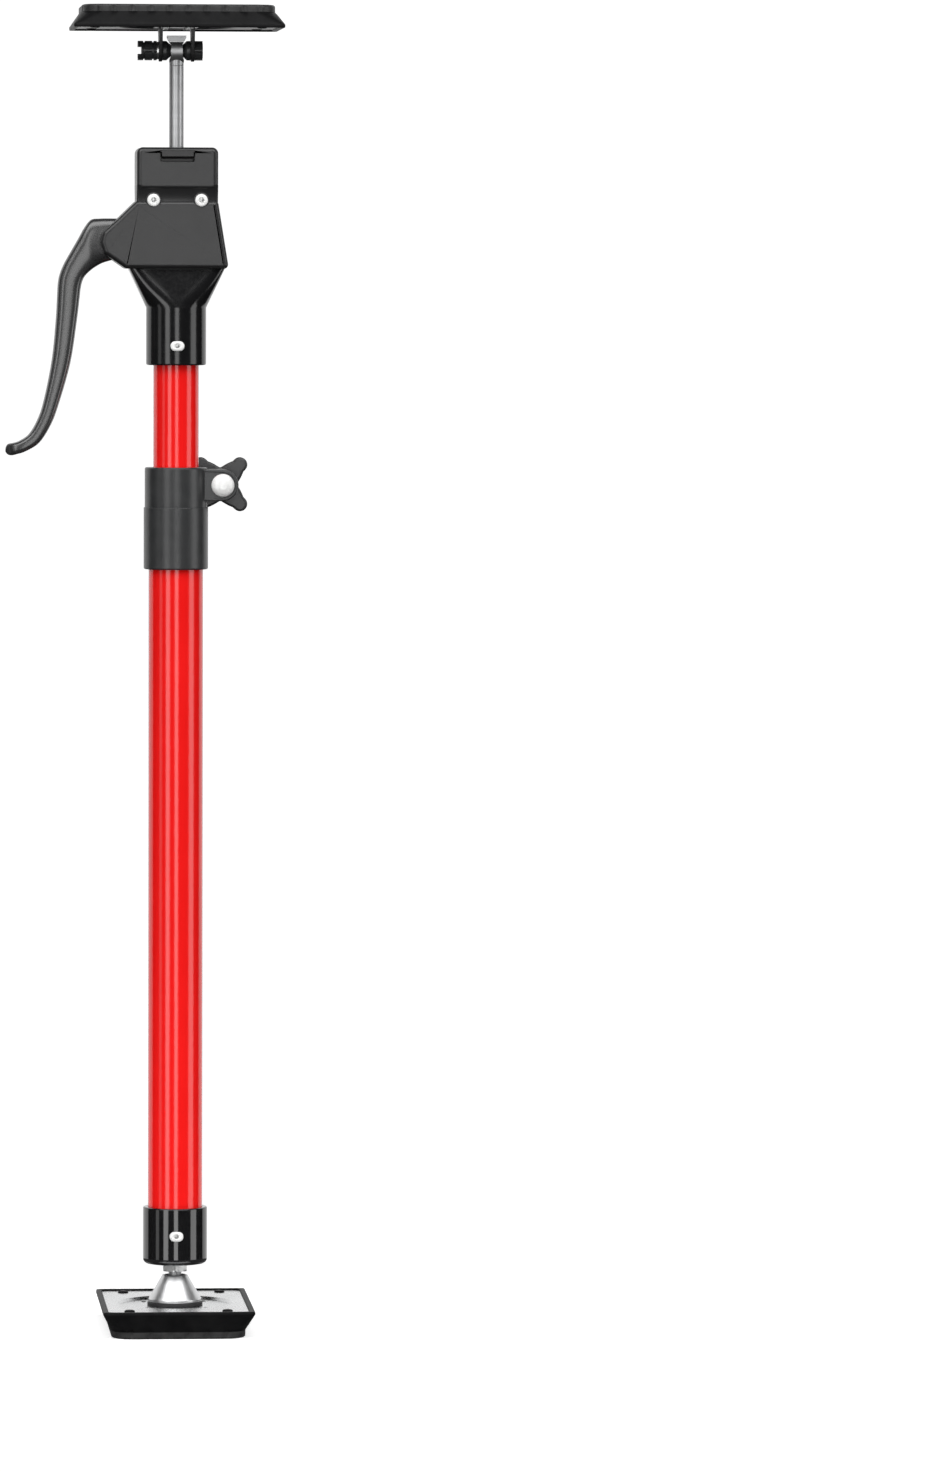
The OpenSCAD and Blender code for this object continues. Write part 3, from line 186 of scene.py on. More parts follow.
def eased(corners, radii, steps=6, closed=True, hold=0.5):
    """A line whose corners become arcs of the given radii: each arc is a rational quadratic from leg to leg, with
    the sine of half the corner's angle as its middle weight. A point `hold` past each end keeps the legs flat."""
    p = np.asarray(corners, float)
    r = np.broadcast_to(np.asarray(radii, float), len(p)).copy()
    if not closed:
        r[0] = r[-1] = 0.0
    back, on = np.roll(p, 1, 0) - p, np.roll(p, -1, 0) - p
    back_l, on_l = np.linalg.norm(back, axis=1), np.linalg.norm(on, axis=1)
    back, on = back / np.maximum(back_l, 1e-9)[:, None], on / np.maximum(on_l, 1e-9)[:, None]
    half = np.arccos(np.clip((back * on).sum(1), -1, 1)) / 2
    cut = np.minimum(r / np.maximum(np.tan(half), 1e-6), 0.49 * np.minimum(back_l, on_l))[:, None, None]
    t = np.linspace(0, 1, steps)[None, :, None]
    w = np.sin(half)[:, None, None]
    a, b, c = p[:, None] + back[:, None] * cut, p[:, None], p[:, None] + on[:, None] * cut
    arc = (1 - t) ** 2 * a + 2 * w * t * (1 - t) * b + t ** 2 * c
    arc = arc / ((1 - t) ** 2 + 2 * w * t * (1 - t) + t ** 2)
    used = cut[:, 0, 0]
    before = np.clip(0.3 * (back_l - used - np.roll(used, 1)), 0, hold)
    after = np.clip(0.3 * (on_l - used - np.roll(used, -1)), 0, hold)
    if not closed:
        before[0] = after[-1] = 0.0
    held_a = p + back * (used + before)[:, None]
    held_c = p + on * (used + after)[:, None]
    return np.concatenate([held_a[:, None], arc, held_c[:, None]], 1).reshape(-1, 2)


def make_piece(name, sheets, body, finish, nodes, sharp=38.0):
    """One mesh from grids of points in millimetres, each (points, close rows, close columns, cap rows)."""
    points, faces, start = [], [], 0
    for grid, close_rows, close_columns, caps in sheets:
        rows, columns = grid.shape[:2]
        points.append(grid.reshape(-1, 3) * 0.001)
        faces += (grid_quads(rows, columns, close_rows, close_columns) + start).tolist()
        if caps:
            faces.append((start + np.arange(columns)[::-1]).tolist())
            faces.append((start + (rows - 1) * columns + np.arange(columns)).tolist())
        start += rows * columns
    mesh = bpy.data.meshes.new(name)
    mesh.from_pydata(np.concatenate(points), [], faces)
    shape = bmesh.new()
    shape.from_mesh(mesh)
    bmesh.ops.remove_doubles(shape, verts=shape.verts, dist=2e-6)
    bmesh.ops.dissolve_degenerate(shape, edges=shape.edges, dist=1e-6)
    bmesh.ops.recalc_face_normals(shape, faces=shape.faces)
    shape.to_mesh(mesh)
    shape.free()
    mesh.polygons.foreach_set("use_smooth", np.ones(len(mesh.polygons), bool))
    mesh.set_sharp_from_angle(angle=np.radians(sharp))
    mesh.materials.append(finish)
    piece = bpy.data.objects.new(name, mesh)
    bpy.context.scene.collection.objects.link(piece)
    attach(piece, body)
    if nodes:
        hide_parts(*nodes)
    return piece


def turned(profile, sides=96, centre=(0, 0, 0), axis="z"):
    """A profile of (radius, height) carried round an axis."""
    a = np.linspace(0, 2 * np.pi, sides, endpoint=False)[None, :]
    r, h = np.asarray(profile, float)[:, :1], np.asarray(profile, float)[:, 1:2] + 0 * a
    across, up = r * np.cos(a), r * np.sin(a)
    order = {"z": (across, up, h), "x": (h, across, up), "front": (across, -h, up)}[axis]
    return np.stack(order, -1) + np.asarray(centre, float)


def pressed_out(outline, insets, heights, place):
    """An outline drawn in by each inset at each height: every point moves against the outline's own normal."""
    p = np.asarray(outline, float)
    tangent = np.roll(p, -1, 0) - np.roll(p, 1, 0)
    tangent /= np.maximum(np.linalg.norm(tangent, axis=1), 1e-9)[:, None]
    normal = np.stack([tangent[:, 1], -tangent[:, 0]], 1)
    area = (p[:, 0] * np.roll(p[:, 1], -1) - np.roll(p[:, 0], -1) * p[:, 1]).sum()
    normal *= np.sign(area)
    rows = p[None] - normal[None] * np.asarray(insets, float)[:, None, None]
    h = np.asarray(heights, float)[:, None] + 0 * rows[..., 0]
    return place(rows[..., 0], rows[..., 1], h)


# Tubes, cap and rod

def tube_wall(name, outer, inner, low, high, body, node):
    """A tube: its wall's section, with tiny rounded ends, carried round the pole's axis."""
    wall = eased([(outer, low), (outer, high), (inner, high), (inner, low)], 0.4)
    make_piece(name, [(turned(wall, 128), True, True, False)], body, red_coat, [node])


def ringed(name, corners, radii, body, finish, nodes, slot, sides=96, **place):
    """A ring: a closed section of (radius, height) with eased corners, carried round an axis."""
    section = eased(corners, radii, 5)
    return make_piece(name, [(turned(section, sides, **place), True, True, False)], body, finish, nodes)


tube_wall("lower_tube_shell", 15.0, 13.8, 45.1, 450.1, "lower_pole", "lower_tube")
tube_wall("upper_tube_shell", 12.5, 11.3, 117.1, 556.6, "upper_pole", "upper_tube")
ringed("end_cap_shell", [(4.1, 36.1), (17.72, 36.1), (17.72, 67.6), (15.02, 67.6), (15.02, 45.1), (4.1, 45.1)],
       [0.3, 3.0, 0.7, 0.3, 0.3, 0.3], "lower_pole", gloss_black, ["lower_end_cap"], "lower_end_cap", 128)

rod_line = eased([(0, 467.2), (4.0, 467.2), (4.0, 695.2), (2.4, 695.2), (2.4, 697.7), (0, 697.7)], 0.3, 5, False)
make_piece("lift_rod_body", [(turned(rod_line, 64), False, True, False)], "rod", rod_chrome, ["lift_rod"])


def hex_prism(flats, low, high, bore, chamfer=0.5, sides=96):
    """A nut: at each height the radius is the hexagon's, but no more than a cone that trims its corners."""
    a = np.linspace(0, 2 * np.pi, sides, endpoint=False)[None, :]
    flat = flats / 2 / np.cos((a + np.pi / 6) % (np.pi / 3) - np.pi / 6)
    trim = np.array([bore, flats * 0.47, flats * 0.515, flats, flats, flats * 0.515, flats * 0.47, bore])[:, None]
    z = np.array([[low], [low], [low + 0.25 * chamfer], [low + 1.6 * chamfer], [high - 1.6 * chamfer],
                  [high - 0.25 * chamfer], [high], [high]])
    r = np.minimum(flat, trim)
    return np.stack([r * np.cos(a), r * np.sin(a), z + 0 * a], -1), True, True, False


make_piece("lock_nut_body", [hex_prism(13.0, 31.7, 36.1, 4.02)], "lower_pole", zinc_steel, ["foot_lock_nut"],
           20)


# Clamp

collar_low = eased([(17.72, 419.1), (17.72, 453.1), (14.42, 453.1), (14.42, 450.1), (15.02, 450.1), (15.02, 419.1)],
                   [0.9, 0.35, 0.1, 0.1, 0.1, 0.3], 5)
collar_high = eased([(17.17, 453.1), (17.17, 475.1), (12.8, 475.1), (12.8, 473.6), (14.42, 473.6), (14.42, 453.1)],
                    [0.05, 0.9, 0.3, 0.1, 0.1, 0.05], 5)


def split_ring(section, half_gap, sides=120):
    """A ring that stops short of its own start, so that a slit stays open on the side of X."""
    edge = np.arcsin(half_gap / section[:, 0].max())
    a = np.linspace(edge, 2 * np.pi - edge, sides)[:, None]
    r, z = section[None, :, 0], section[None, :, 1]
    return np.stack([r * np.cos(a), r * np.sin(a), z + 0 * a], -1), False, True, True


def facing_y(x, z, depth):
    """Sets an outline of X and Z at its depth along Y."""
    return np.stack([x, depth, z], -1)


ear_turn = np.linspace(-np.pi / 2, np.pi / 2, 40)
ear_line = np.concatenate([[(12.5, 8.7)], np.stack([25.4 + 8.7 * np.cos(ear_turn), 8.7 * np.sin(ear_turn)], 1)[::-1],
                           [(12.5, -8.7)]]) + (0, 465.31)
ear_insets = np.array([0, 0, 0.12, 0.45, 0.9, 1.5, 1.75, 1.9])
ear_depths = np.array([1.25, 7.1, 7.6, 7.9, 8.0, 8.0, 7.85, 7.45])
collar_sheets = [(turned(collar_low, 128), True, True, False), split_ring(collar_high, 1.25)]
for side in (-1, 1):
    ear = pressed_out(ear_line, ear_insets, side * ear_depths, facing_y)
    collar_sheets.append((ear, False, True, True))
make_piece("clamp_collar_body", collar_sheets, "lower_pole", grained_nylon, ["clamp_collar"])


def star_outline(reach, tip, waist, points=240):
    """Four arms: round tips at the diagonals, and between them a curve that eases down to the waist."""
    a = np.linspace(0, 2 * np.pi, points, endpoint=False)
    off = np.abs((a % (np.pi / 2)) - np.pi / 4)
    turn = np.arcsin(tip / reach)
    cap = reach * np.cos(off) + np.sqrt(np.maximum(tip ** 2 - (reach * np.sin(off)) ** 2, 0))
    share = np.clip((off - turn) / (np.pi / 4 - turn), 0, 1)
    flank = waist + (reach * np.cos(turn) - waist) * (1 - share) ** 1.5
    r = np.where(off < turn, cap, flank)
    return np.stack([r * np.cos(a), r * np.sin(a)], 1)


star_line = star_outline(15.3, 4.1, 9.3)
star_rows = pressed_out(star_line + (25.4, 465.31), [1.6, 1.3, 0.65, 0.2, 0, 0, 0, 0, 0.2, 0.65, 1.3, 1.6],
                        [18.02, 18.03, 18.15, 18.6, 19.3, 19.6, 23.4, 23.7, 24.4, 24.87, 25.01, 25.02], facing_y)
star_side = np.arctan2(star_line[:, 1], star_line[:, 0])


def star_ring(radius, depth):
    """One circle of the knob's pocket, with its points on the outline's own bearings."""
    return np.stack([25.4 + radius * np.cos(star_side), depth + 0 * star_side,
                     465.31 + radius * np.sin(star_side)], -1)


star_pocket = np.stack([star_ring(6.4, 25.02), star_ring(6.0, 24.8), star_ring(6.0, 19.95), star_ring(3.15, 19.95),
                        star_ring(3.15, 18.02)])
hub_section = eased([(3.15, 9.5), (8.0, 9.5), (8.0, 18.3), (3.15, 18.3)], [0.2, 0.5, 0.05, 0.05], 5) * (1, -1)
make_piece("clamp_knob_body", [(np.concatenate([star_rows, star_pocket]), True, True, False),
                               (turned(hub_section, 72, (25.4, 0, 465.31), "front"), True, True, False)],
           "knob", grained_nylon, ["clamp_knob"])

bolt_line = eased([(0, 11.3), (2.4, 11.15), (4.6, 10.35), (5.9, 9.2), (6.3, 8.3), (6.3, 8.0), (3.0, 8.0),
                   (3.0, -25.02), (0, -25.02)], [0, 3, 3, 1.5, 0.3, 0.15, 0.1, 0.3, 0], 5, False)
make_piece("clamp_bolt_body", [(turned(bolt_line, 64, (25.4, 0, 465.31), "front"), False, True, False)],
           "lower_pole", white_lacquer, ["clamp_bolt"])


# Blind rivets

def rivet_head(length, width, back, front, x, z, dimple=1.35, side=1, points=64):
    """An oval head with a rounded edge and a round dimple; `side` -1 turns it to the rear."""
    a = np.linspace(0, 2 * np.pi, points, endpoint=False)
    run = (length - width) / 2
    line = np.stack([width / 2 * np.cos(a) + run * np.clip(3 * np.cos(a), -1, 1), width / 2 * np.sin(a)], 1)
    step = front - back
    rows = pressed_out(line, [0.0, 0.0, 0.12, 0.42, 0.95], back + step * np.array([-1.2, 0.3, 0.62, 0.86, 0.97]),
                       facing_y)
    rings = np.stack([np.stack([r * np.cos(a), 0 * a + h, r * np.sin(a)], -1) for r, h in
                      ((dimple + 0.25, front), (dimple, front - 0.15 * step), (dimple - 0.1, front - 0.6 * step))])
    grid = np.concatenate([rows, rings])
    grid = grid * (1, -side, 1) + (x, 0, z)
    return grid, False, True, True


def mandrel_end(radius, front, depth, x, z, side=1):
    """The rounded end of the mandrel that stays in a blind rivet."""
    line = eased([(0, front), (radius, front - 0.25), (radius, front - depth), (0, front - depth)], 0.2, 5, False)
    return turned(line, 32, (0, 0, 0), "front") * (1, side, 1) + (x, 0, z), False, True, False


for name, surface_r, height, body in (("neck_rivet", 16.52, 541.6, "upper_pole"),
                                      ("lower_cap_rivet", 17.72, 52.48, "lower_pole")):
    make_piece(name + "_head", [rivet_head(7.7, 5.5, surface_r - 0.45, surface_r + 0.75, 0, height)], body,
               white_lacquer, [name])
    make_piece(name + "_mandrel", [mandrel_end(1.2, surface_r + 0.45, 1.6, 0, height)], body, zinc_steel, [])
housing_heads = [rivet_head(7.0, 7.0, 15.5, 16.9, x, 621.3, 1.5, s) for x in (-13.1, 13.1) for s in (1, -1)]
make_piece("housing_rivet_heads", housing_heads, "upper_pole", white_lacquer, ["housing_rivets"])
make_piece("housing_rivet_mandrels", [mandrel_end(1.3, 16.5, 1.6, x, 621.3, s) for x in (-13.1, 13.1)
                                      for s in (1, -1)], "upper_pole", zinc_steel, [])


# Grip housing

def half_depth(turn):
    """Puts an outline of X and Z at a depth in front of the split (turn 1) or behind it (turn -1)."""
    return lambda x, z, depth: np.stack([x, -turn * depth, z], -1)


def moulded_slab(outline, depth, edge, turn, steps=7):
    """An outline pressed out from the split, its front edge rounded by a quarter circle."""
    a = np.linspace(0, np.pi / 2, steps)
    insets = np.concatenate([[0.0, 0.0], edge * (1 - np.cos(a)), [1.25 * edge]])
    heights = np.concatenate([[0.03, depth - 1.3 * edge], depth - edge * (1 - np.sin(a)), [depth]])
    return pressed_out(outline, insets, heights, half_depth(turn)), False, True, True


def windowed_slab(outline, window, depth, edge, turn, floor, steps=7):
    """A pressed slab with a sunk opening: the rounded front runs in to the opening's lip and down to its floor."""
    outer = moulded_slab(outline, depth, edge, turn, steps)[0]
    a = np.linspace(0, np.pi / 2, 5)
    lip = pressed_out(window, np.concatenate([[-0.9], -0.7 * (1 - np.sin(a)), [0.0]]),
                      np.concatenate([[depth], depth - 0.7 * (1 - np.cos(a)), [floor]]), half_depth(turn))
    return np.concatenate([outer, lip]), False, True, True


def waist_sheet(turn):
    """The band between box and face: its front leans out as it rises, and its ends are rounded."""
    rise = np.linspace(0, 1, 9)
    front = np.stack([14.1 + 2.85 * rise ** 1.5, 620.0 + 9.6 * rise], 1)
    loop = np.concatenate([[(0.03, 615.0), (14.1, 615.0)], front, [(0.03, 629.6)]])
    x = np.array([-22.3, -22.15, -21.7, -20.9, 20.9, 21.7, 22.15, 22.3])[:, None]
    less = np.array([1.4, 0.75, 0.2, 0, 0, 0.2, 0.75, 1.4])[:, None]
    depth = np.maximum(loop[None, :, 0] - less, 0.03)
    return np.stack([x + 0 * depth, -turn * depth, loop[None, :, 1] + 0 * depth], -1), False, True, True


def funnel_sheet(turn, rows=28, columns=57):
    """Half of the funnel: each level blends a rounded rectangle into the neck's circle."""
    share = np.linspace(0, 1, rows)[:, None]
    z = 584.6 - 22.0 * share
    a = np.linspace(0, np.pi, columns)[None, :]
    power = 2.0 + 6.0 * (1 - share) ** 1.6
    half_x = 26.7 * (1 - share) + 16.52 * share
    half_y = 11.6 * (1 - share) + 16.52 * share
    c, s = np.cos(a), np.sin(a)
    x = half_x * np.sign(c) * np.abs(c) ** (2 / power)
    y = half_y * np.abs(s) ** (2 / power)
    return np.stack([x, -turn * np.maximum(y, 0.03), z + 0 * a], -1), False, True, True


def neck_sheet(turn, columns=57):
    """Half of the neck tube: its wall's section, with a rounded mouth, carried half way round the pole."""
    wall = eased([(16.52, 562.7), (16.52, 531.1), (12.55, 531.1), (12.55, 562.7)], [0.1, 0.9, 0.4, 0.1], 6)
    a = np.linspace(0.002, np.pi - 0.002, columns)[:, None]
    r, z = wall[None, :, 0], wall[None, :, 1]
    return np.stack([r * np.cos(a), -turn * r * np.sin(a), z + 0 * a], -1), False, True, True


box_line = eased([(-22.3, 627.0), (22.3, 627.0), (22.3, 650.2), (-22.3, 650.2)], 3.3, 8)
window_line = eased([(-8.9, 642.4), (8.9, 642.4), (8.9, 647.8), (-8.9, 647.8)], 0.7, 8)
face_line = eased([(-22.3, 621.0), (22.3, 621.0), (28.3, 583.9), (-28.3, 583.9), (-40.0, 592.0), (-42.1, 598.2),
                   (-40.8, 603.7), (-31.6, 612.0)], [3, 2.2, 2.4, 2, 3, 4, 4, 4], 8)
boss_angle = np.linspace(0, 2 * np.pi, 48, endpoint=False)
boss_line = np.stack([np.cos(boss_angle), np.sin(boss_angle)], 1) * 4.34
for half, turn in (("housing_front", 1), ("housing_rear", -1)):
    box = windowed_slab(box_line, window_line, 17.0, 2.6, turn, 9.0) if turn == 1 else \
        moulded_slab(box_line, 17.0, 2.6, turn)
    sheets = [box, waist_sheet(turn), moulded_slab(face_line, 15.5, 2.5, turn)]
    for x in (-13.1, 13.1):
        sheets.append(moulded_slab(boss_line + (x, 621.3), 15.5, 0.6, turn))
    make_piece(half + "_shell", sheets, "upper_pole", housing_black, [half])
    make_piece(half + "_funnel", [funnel_sheet(turn), neck_sheet(turn)], "upper_pole", funnel_black, [])


# Lever

def smooth_run(stations, steps=6):
    """A Catmull-Rom run through stations, worked out for every station at once."""
    p = np.asarray(stations, float)
    a, b = np.concatenate([p[:1], p[:-2]]), p[:-1]
    c, d = p[1:], np.concatenate([p[2:], p[-1:]])
    t = np.linspace(0, 1, steps, endpoint=False)[None, :, None]
    a, b, c, d = a[:, None], b[:, None], c[:, None], d[:, None]
    run = 0.5 * (2 * b + (c - a) * t + (2 * a - 5 * b + 4 * c - d) * t ** 2 + (3 * b - a - 3 * c + d) * t ** 3)
    return np.concatenate([run.reshape(-1, p.shape[1]), p[-1:]])


cheek_edges = np.array([
    (-30, 611.3, -30, 590.0), (-36, 611.4, -36, 588.3), (-42, 611.3, -40.5, 586.9), (-46.8, 610.6, -43.6, 585.2),
    (-50.4, 606.4, -46.0, 583.6), (-54.2, 599.6, -48.1, 581.8), (-58.0, 593.0, -49.8, 580.0),
    (-61.6, 586.6, -51.2, 577.6), (-63.9, 581, -52.1, 574.5), (-64.9, 576.2, -52.6, 571.3)])
grip_run = np.array([
    (-59.1, 569.1, 6.25), (-60.3, 555.3, 5.8), (-63.1, 533.2, 5.2), (-68.3, 511.4, 4.3), (-72.2, 500.1, 4.0),
    (-77.8, 490.9, 3.75), (-84.2, 486.6, 3.4), (-88.4, 485.2, 3.3), (-90.3, 484.8, 3.36), (-91.8, 484.6, 3.1),
    (-92.9, 484.4, 2.2), (-93.5, 484.4, 1.1), (-93.62, 484.4, 0.15)])


def grip_sheet():
    """The lever from its cheek to the tip: a rounded section between the outer and the inner edge line."""
    along = np.gradient(np.concatenate([[(-58.5, 573.8)], grip_run[:, :2]]), axis=0)[1:]
    along /= np.linalg.norm(along, axis=1)[:, None]
    out = np.stack([along[:, 1], -along[:, 0]], 1) * grip_run[:, 2:3]
    edges = np.concatenate([cheek_edges, np.concatenate([grip_run[:, :2] + out, grip_run[:, :2] - out], 1)])
    deep = np.concatenate([[5.6, 5.9, 6.3, 6.7], np.full(len(edges) - 12, 7.0),
                           [6.9, 6.6, 5.8, 4.4, 2.4, 1.0, 0.3, 0.1]])
    run = smooth_run(np.concatenate([edges, deep[:, None]], 1), 5)
    middle, reach = (run[:, :2] + run[:, 2:4]) / 2, (run[:, :2] - run[:, 2:4]) / 2
    a = np.linspace(0, 2 * np.pi, 48, endpoint=False)[None, :]
    c = np.sign(np.cos(a)) * np.abs(np.cos(a)) ** 0.6
    y = np.sign(np.sin(a)) * np.abs(np.sin(a)) ** 0.6 * run[:, 4:5]
    return np.stack([middle[:, :1] + reach[:, :1] * c, y, middle[:, 1:] + reach[:, 1:] * c], -1)


make_piece("grip_lever_body", [(grip_sheet(), False, True, True)], "lever", lever_black, ["grip_lever"])


# Pads and plates

def frame_points(half_x, half_y, step):
    """The points of a rectangle's rim, taken counter-clockwise at about one step, with the counts of both sides."""
    nx, ny = int(round(2 * half_x / step)), int(round(2 * half_y / step))
    x, y = np.linspace(-half_x, half_x, nx + 1), np.linspace(-half_y, half_y, ny + 1)
    rim = np.concatenate([np.stack([x[:-1], 0 * x[:-1] - half_y], 1), np.stack([0 * y[:-1] + half_x, y[:-1]], 1),
                          np.stack([x[:0:-1], 0 * x[:0:-1] + half_y], 1),
                          np.stack([0 * y[:0:-1] - half_x, y[:0:-1]], 1)])
    return rim, x, y


def rounded(rim, half_x, half_y, corner):
    """Carries the rim's points onto a rounded rectangle, or a circle: each leaves the nearest point of its core."""
    p = rim / np.abs(rim).max(0) * (half_x, half_y)
    room = np.array([half_x - corner, half_y - corner])
    core = np.clip(p, -room, room)
    away = p - core
    away /= np.maximum(np.linalg.norm(away, axis=1), 1e-9)[:, None]
    return core + corner * away


def ring_rows(rim, rows):
    """One outline for each (half x, half y, corner, height)."""
    return np.stack([np.concatenate([rounded(rim, a, b, c), np.full((len(rim), 1), z)], 1) for a, b, c, z in rows])


def on_foot(grid):
    """Leaves a pad's sheet where it stands."""
    return grid


def on_head(grid):
    """Turns a pad's sheet a quarter and hangs it upside down under the contact face at the pole's top."""
    return np.stack([grid[..., 1], grid[..., 0], 727.6 - grid[..., 2]], -1)


def rubber_tray(name, height, place, body, finish):
    """The moulded tray: grooved contact face, bumps along its lower band, flared wall, lip, recess and well."""
    rim, xs, ys = frame_points(32.8, 48.8, 0.78)
    rows = [(35.2, 51.2, 10.4, 0.0), (36.1, 52.1, 11.3, 0.18), (36.62, 52.62, 11.8, 0.6), (36.8, 52.8, 12, 1.2),
            (36.8, 52.8, 12, 2.5), (36.8, 52.8, 12, 3.9)]
    share = np.linspace(0, 1, 7)[1:, None]
    rows += (np.array([(36.8, 52.8, 12, 3.9)]) * (1 - share)
             + np.array([(41.4, 57.4, 2.6, height - 1.9)]) * share).tolist()
    rows += [(41.5, 57.5, 2.5, height - 1.7), (41.5, 57.5, 2.5, height - 0.5), (41.35, 57.35, 2.35, height - 0.15),
             (41.0, 57.0, 2.0, height), (39.2, 55.2, 4.5, height), (38.85, 54.85, 4.3, height - 0.12),
             (38.6, 54.6, 4.1, height - 0.5), (38.6, 54.6, 4.1, height - 2.42), (33.1, 33.1, 33.1, height - 2.42),
             (33.1, 33.1, 33.1, height - 4.02), (27.2, 27.2, 27.2, height - 4.02), (27.1, 27.1, 27.1, 7.18)]
    wall = ring_rows(rim, rows)
    along = np.where(np.abs(rim[:, 0]) > 32.7, rim[:, 1], rim[:, 0])
    dip = np.exp(-((((along / 9.36) % 1.0) - 0.5) * 9.36 / 1.3) ** 2)
    dip = dip * (np.abs(along) < np.where(np.abs(rim[:, 0]) > 32.7, 41.5, 27.5))
    strength = np.array([0, 0.3, 0.7, 1, 1, 0.75, 0.25])[:, None] * 1.3 * dip[None, :]
    on_side = np.abs(rim[:, 0]) > 32.7
    side = np.stack([np.sign(rim[:, 0]) * on_side, np.sign(rim[:, 1]) * ~on_side], 1)
    wall[:7, :, :2] -= strength[..., None] * np.where(dip[None, :, None] > 0.01, side[None], 0.0)
    x, y = xs[:, None], ys[None, :]
    wave = np.exp(-((((y / 9.36) % 1.0) - 0.5) * 9.36 / 1.05) ** 4)
    wave = wave * np.clip((31.2 - np.abs(x)) / 0.7, 0, 1) * (np.abs(y) < 47.5)
    face = np.stack([x + 0 * y, y + 0 * x, 2.2 * wave], -1)
    edge = np.concatenate([rim, np.zeros((len(rim), 1))], 1)[None]
    make_piece(name + "_tray", [(place(wall[5:]), False, True, False),
                                (place(np.stack([wall[-1], wall[-1] * (0, 0, 1)])), False, True, False),
                                (place(np.stack([wall[5], wall[5] * (0, 0, 1)])), False, True, False)],
               body, finish, [name], 50)
    # The lower band and the contact face take the lighter rubber, whose base colour is a painted sheen.
    make_piece(name + "_tread", [(place(np.concatenate([edge, wall[:6]])), False, True, False),
                                 (place(face), False, False, False),
                                 (place(np.stack([wall[5], wall[5] * (0, 0, 1)])), False, True, False)],
               body, painted_sheen_rubber, [], 50)
    pegs = []
    for px, py in ((-26.8, -45.5), (26.8, -45.5), (26.8, 45.5), (-26.8, 45.5)):
        line = eased([(0, height + 0.2), (2.0, height + 0.16), (2.9, height - 0.3), (2.9, height - 0.9),
                      (1.74, height - 0.9), (1.74, height - 4.0), (0, height - 4.0)],
                     [0, 1.2, 0.4, 0.1, 0.1, 0.1, 0], 5, False)
        pegs.append((place(turned(line, 40, (px, py, 0))), False, True, False))
    make_piece(name + "_pegs", pegs, body, finish, [])


def sheet_plate(name, height, centre, place, body, finish):
    """The pressed plate: a flat rim, a round wall down to the sunk panel, and its own thickness all the way."""
    rim = frame_points(38.5, 54.5, 1.6)[0]
    top, drop = height - 0.9, 1.6
    upper = [(38.5, 54.5, 4.0, top - 0.75), (38.5, 54.5, 4.0, top - 0.2), (38.3, 54.3, 3.8, top),
             (31.9, 31.9, 31.9, top), (31.55, 31.55, 31.55, top - 0.08), (31.35, 31.35, 31.35, top - 0.3),
             (30.85, 30.85, 30.85, top - drop + 0.25), (30.6, 30.6, 30.6, top - drop + 0.05),
             (30.2, 30.2, 30.2, top - drop), (centre, centre, centre, top - drop)]
    lower = [(centre, centre, centre, top - drop - 1.5), (31.4, 31.4, 31.4, top - drop - 1.5),
             (32.2, 32.2, 32.2, top - drop - 0.9), (32.4, 32.4, 32.4, top - 1.5), (38.3, 54.3, 3.8, top - 1.5),
             (38.5, 54.5, 4.0, top - 1.3)]
    make_piece(name + "_sheet", [(place(ring_rows(rim, upper + lower)), True, True, False)],
               body, finish, [name])


rubber_tray("foot_pad", 15.4, on_foot, "foot", pad_rubber)
rubber_tray("head_pad", 12.7, on_head, "head", pad_rubber)
sheet_plate("foot_plate", 15.4, 11.81, on_foot, "foot", zinc_sheet)
sheet_plate("head_plate", 12.7, 1.5, on_head, "head", bracket_black)

ringed("ball_bell_skin", [(10.51, 10.4), (13.4, 10.4), (13.4, 11.4), (11.71, 11.4), (11.71, 15.0), (14.6, 15.0),
                          (14.6, 16.5), (7.0, 29.7), (5.8, 29.7), (10.51, 21.5)],
       [0.1, 0.3, 0.1, 0.1, 0.1, 0.45, 1.4, 0.55, 0.3, 0.3], "foot", bell_chrome, ["ball_bell"], "ball_bell", 128)
ringed("bell_gasket_ring", [(11.81, 12.9), (15.2, 12.9), (15.2, 15.0), (11.81, 15.0)], [0.1, 0.4, 0.7, 0.1], "foot",
       soft_seal, ["bell_gasket"], "bell_gasket", 128)


# Head bracket and cone washers

fork_turn = np.linspace(np.pi + 0.35, 2 * np.pi - 0.35, 36)
fork_line = np.concatenate([np.stack([6.0 * np.cos(fork_turn), 6.0 * np.sin(fork_turn)], 1),
                            [(9.0, 11.2), (9.0, 13.2), (-9.0, 13.2), (-9.0, 11.2)]]) + (0, 703.2)


def fork_ear(side):
    """One thin ear: its outline pressed across X from the inner face to the outer, both edges rounded."""
    return pressed_out(fork_line, [0.35, 0.1, 0, 0, 0.1, 0.35], side * np.array([7.8, 7.88, 8.15, 9.45, 9.72, 9.8]),
                       lambda y, z, depth: np.stack([depth, y, z], -1)), False, True, True


base_line = eased([(-12.0, -18.0), (12.0, -18.0), (12.0, 18.0), (-12.0, 18.0)], 2.0, 8)
base_rows = pressed_out(base_line, [0.3, 0.05, 0, 0, 0.05, 0.3], [715.9, 715.98, 716.2, 717.1, 717.32, 717.4],
                        lambda x, y, z: np.stack([x, y, z], -1))
make_piece("head_bracket_body", [(base_rows, False, True, True), fork_ear(-1), fork_ear(1)], "head", bracket_black,
           ["head_bracket"])

cone_section = eased([(2.55, 3.25), (3.2, 3.25), (5.35, 5.55), (5.35, 7.7), (2.55, 7.7)],
                     [0.1, 0.2, 0.4, 0.3, 0.1], 5)
make_piece("cone_washer_pair", [(turned(cone_section * (1, s), 64, (0, 0, 703.2), "x"), True, True, False)
                                for s in (-1, 1)], "head", grained_nylon, ["cone_washers"])


# Studio

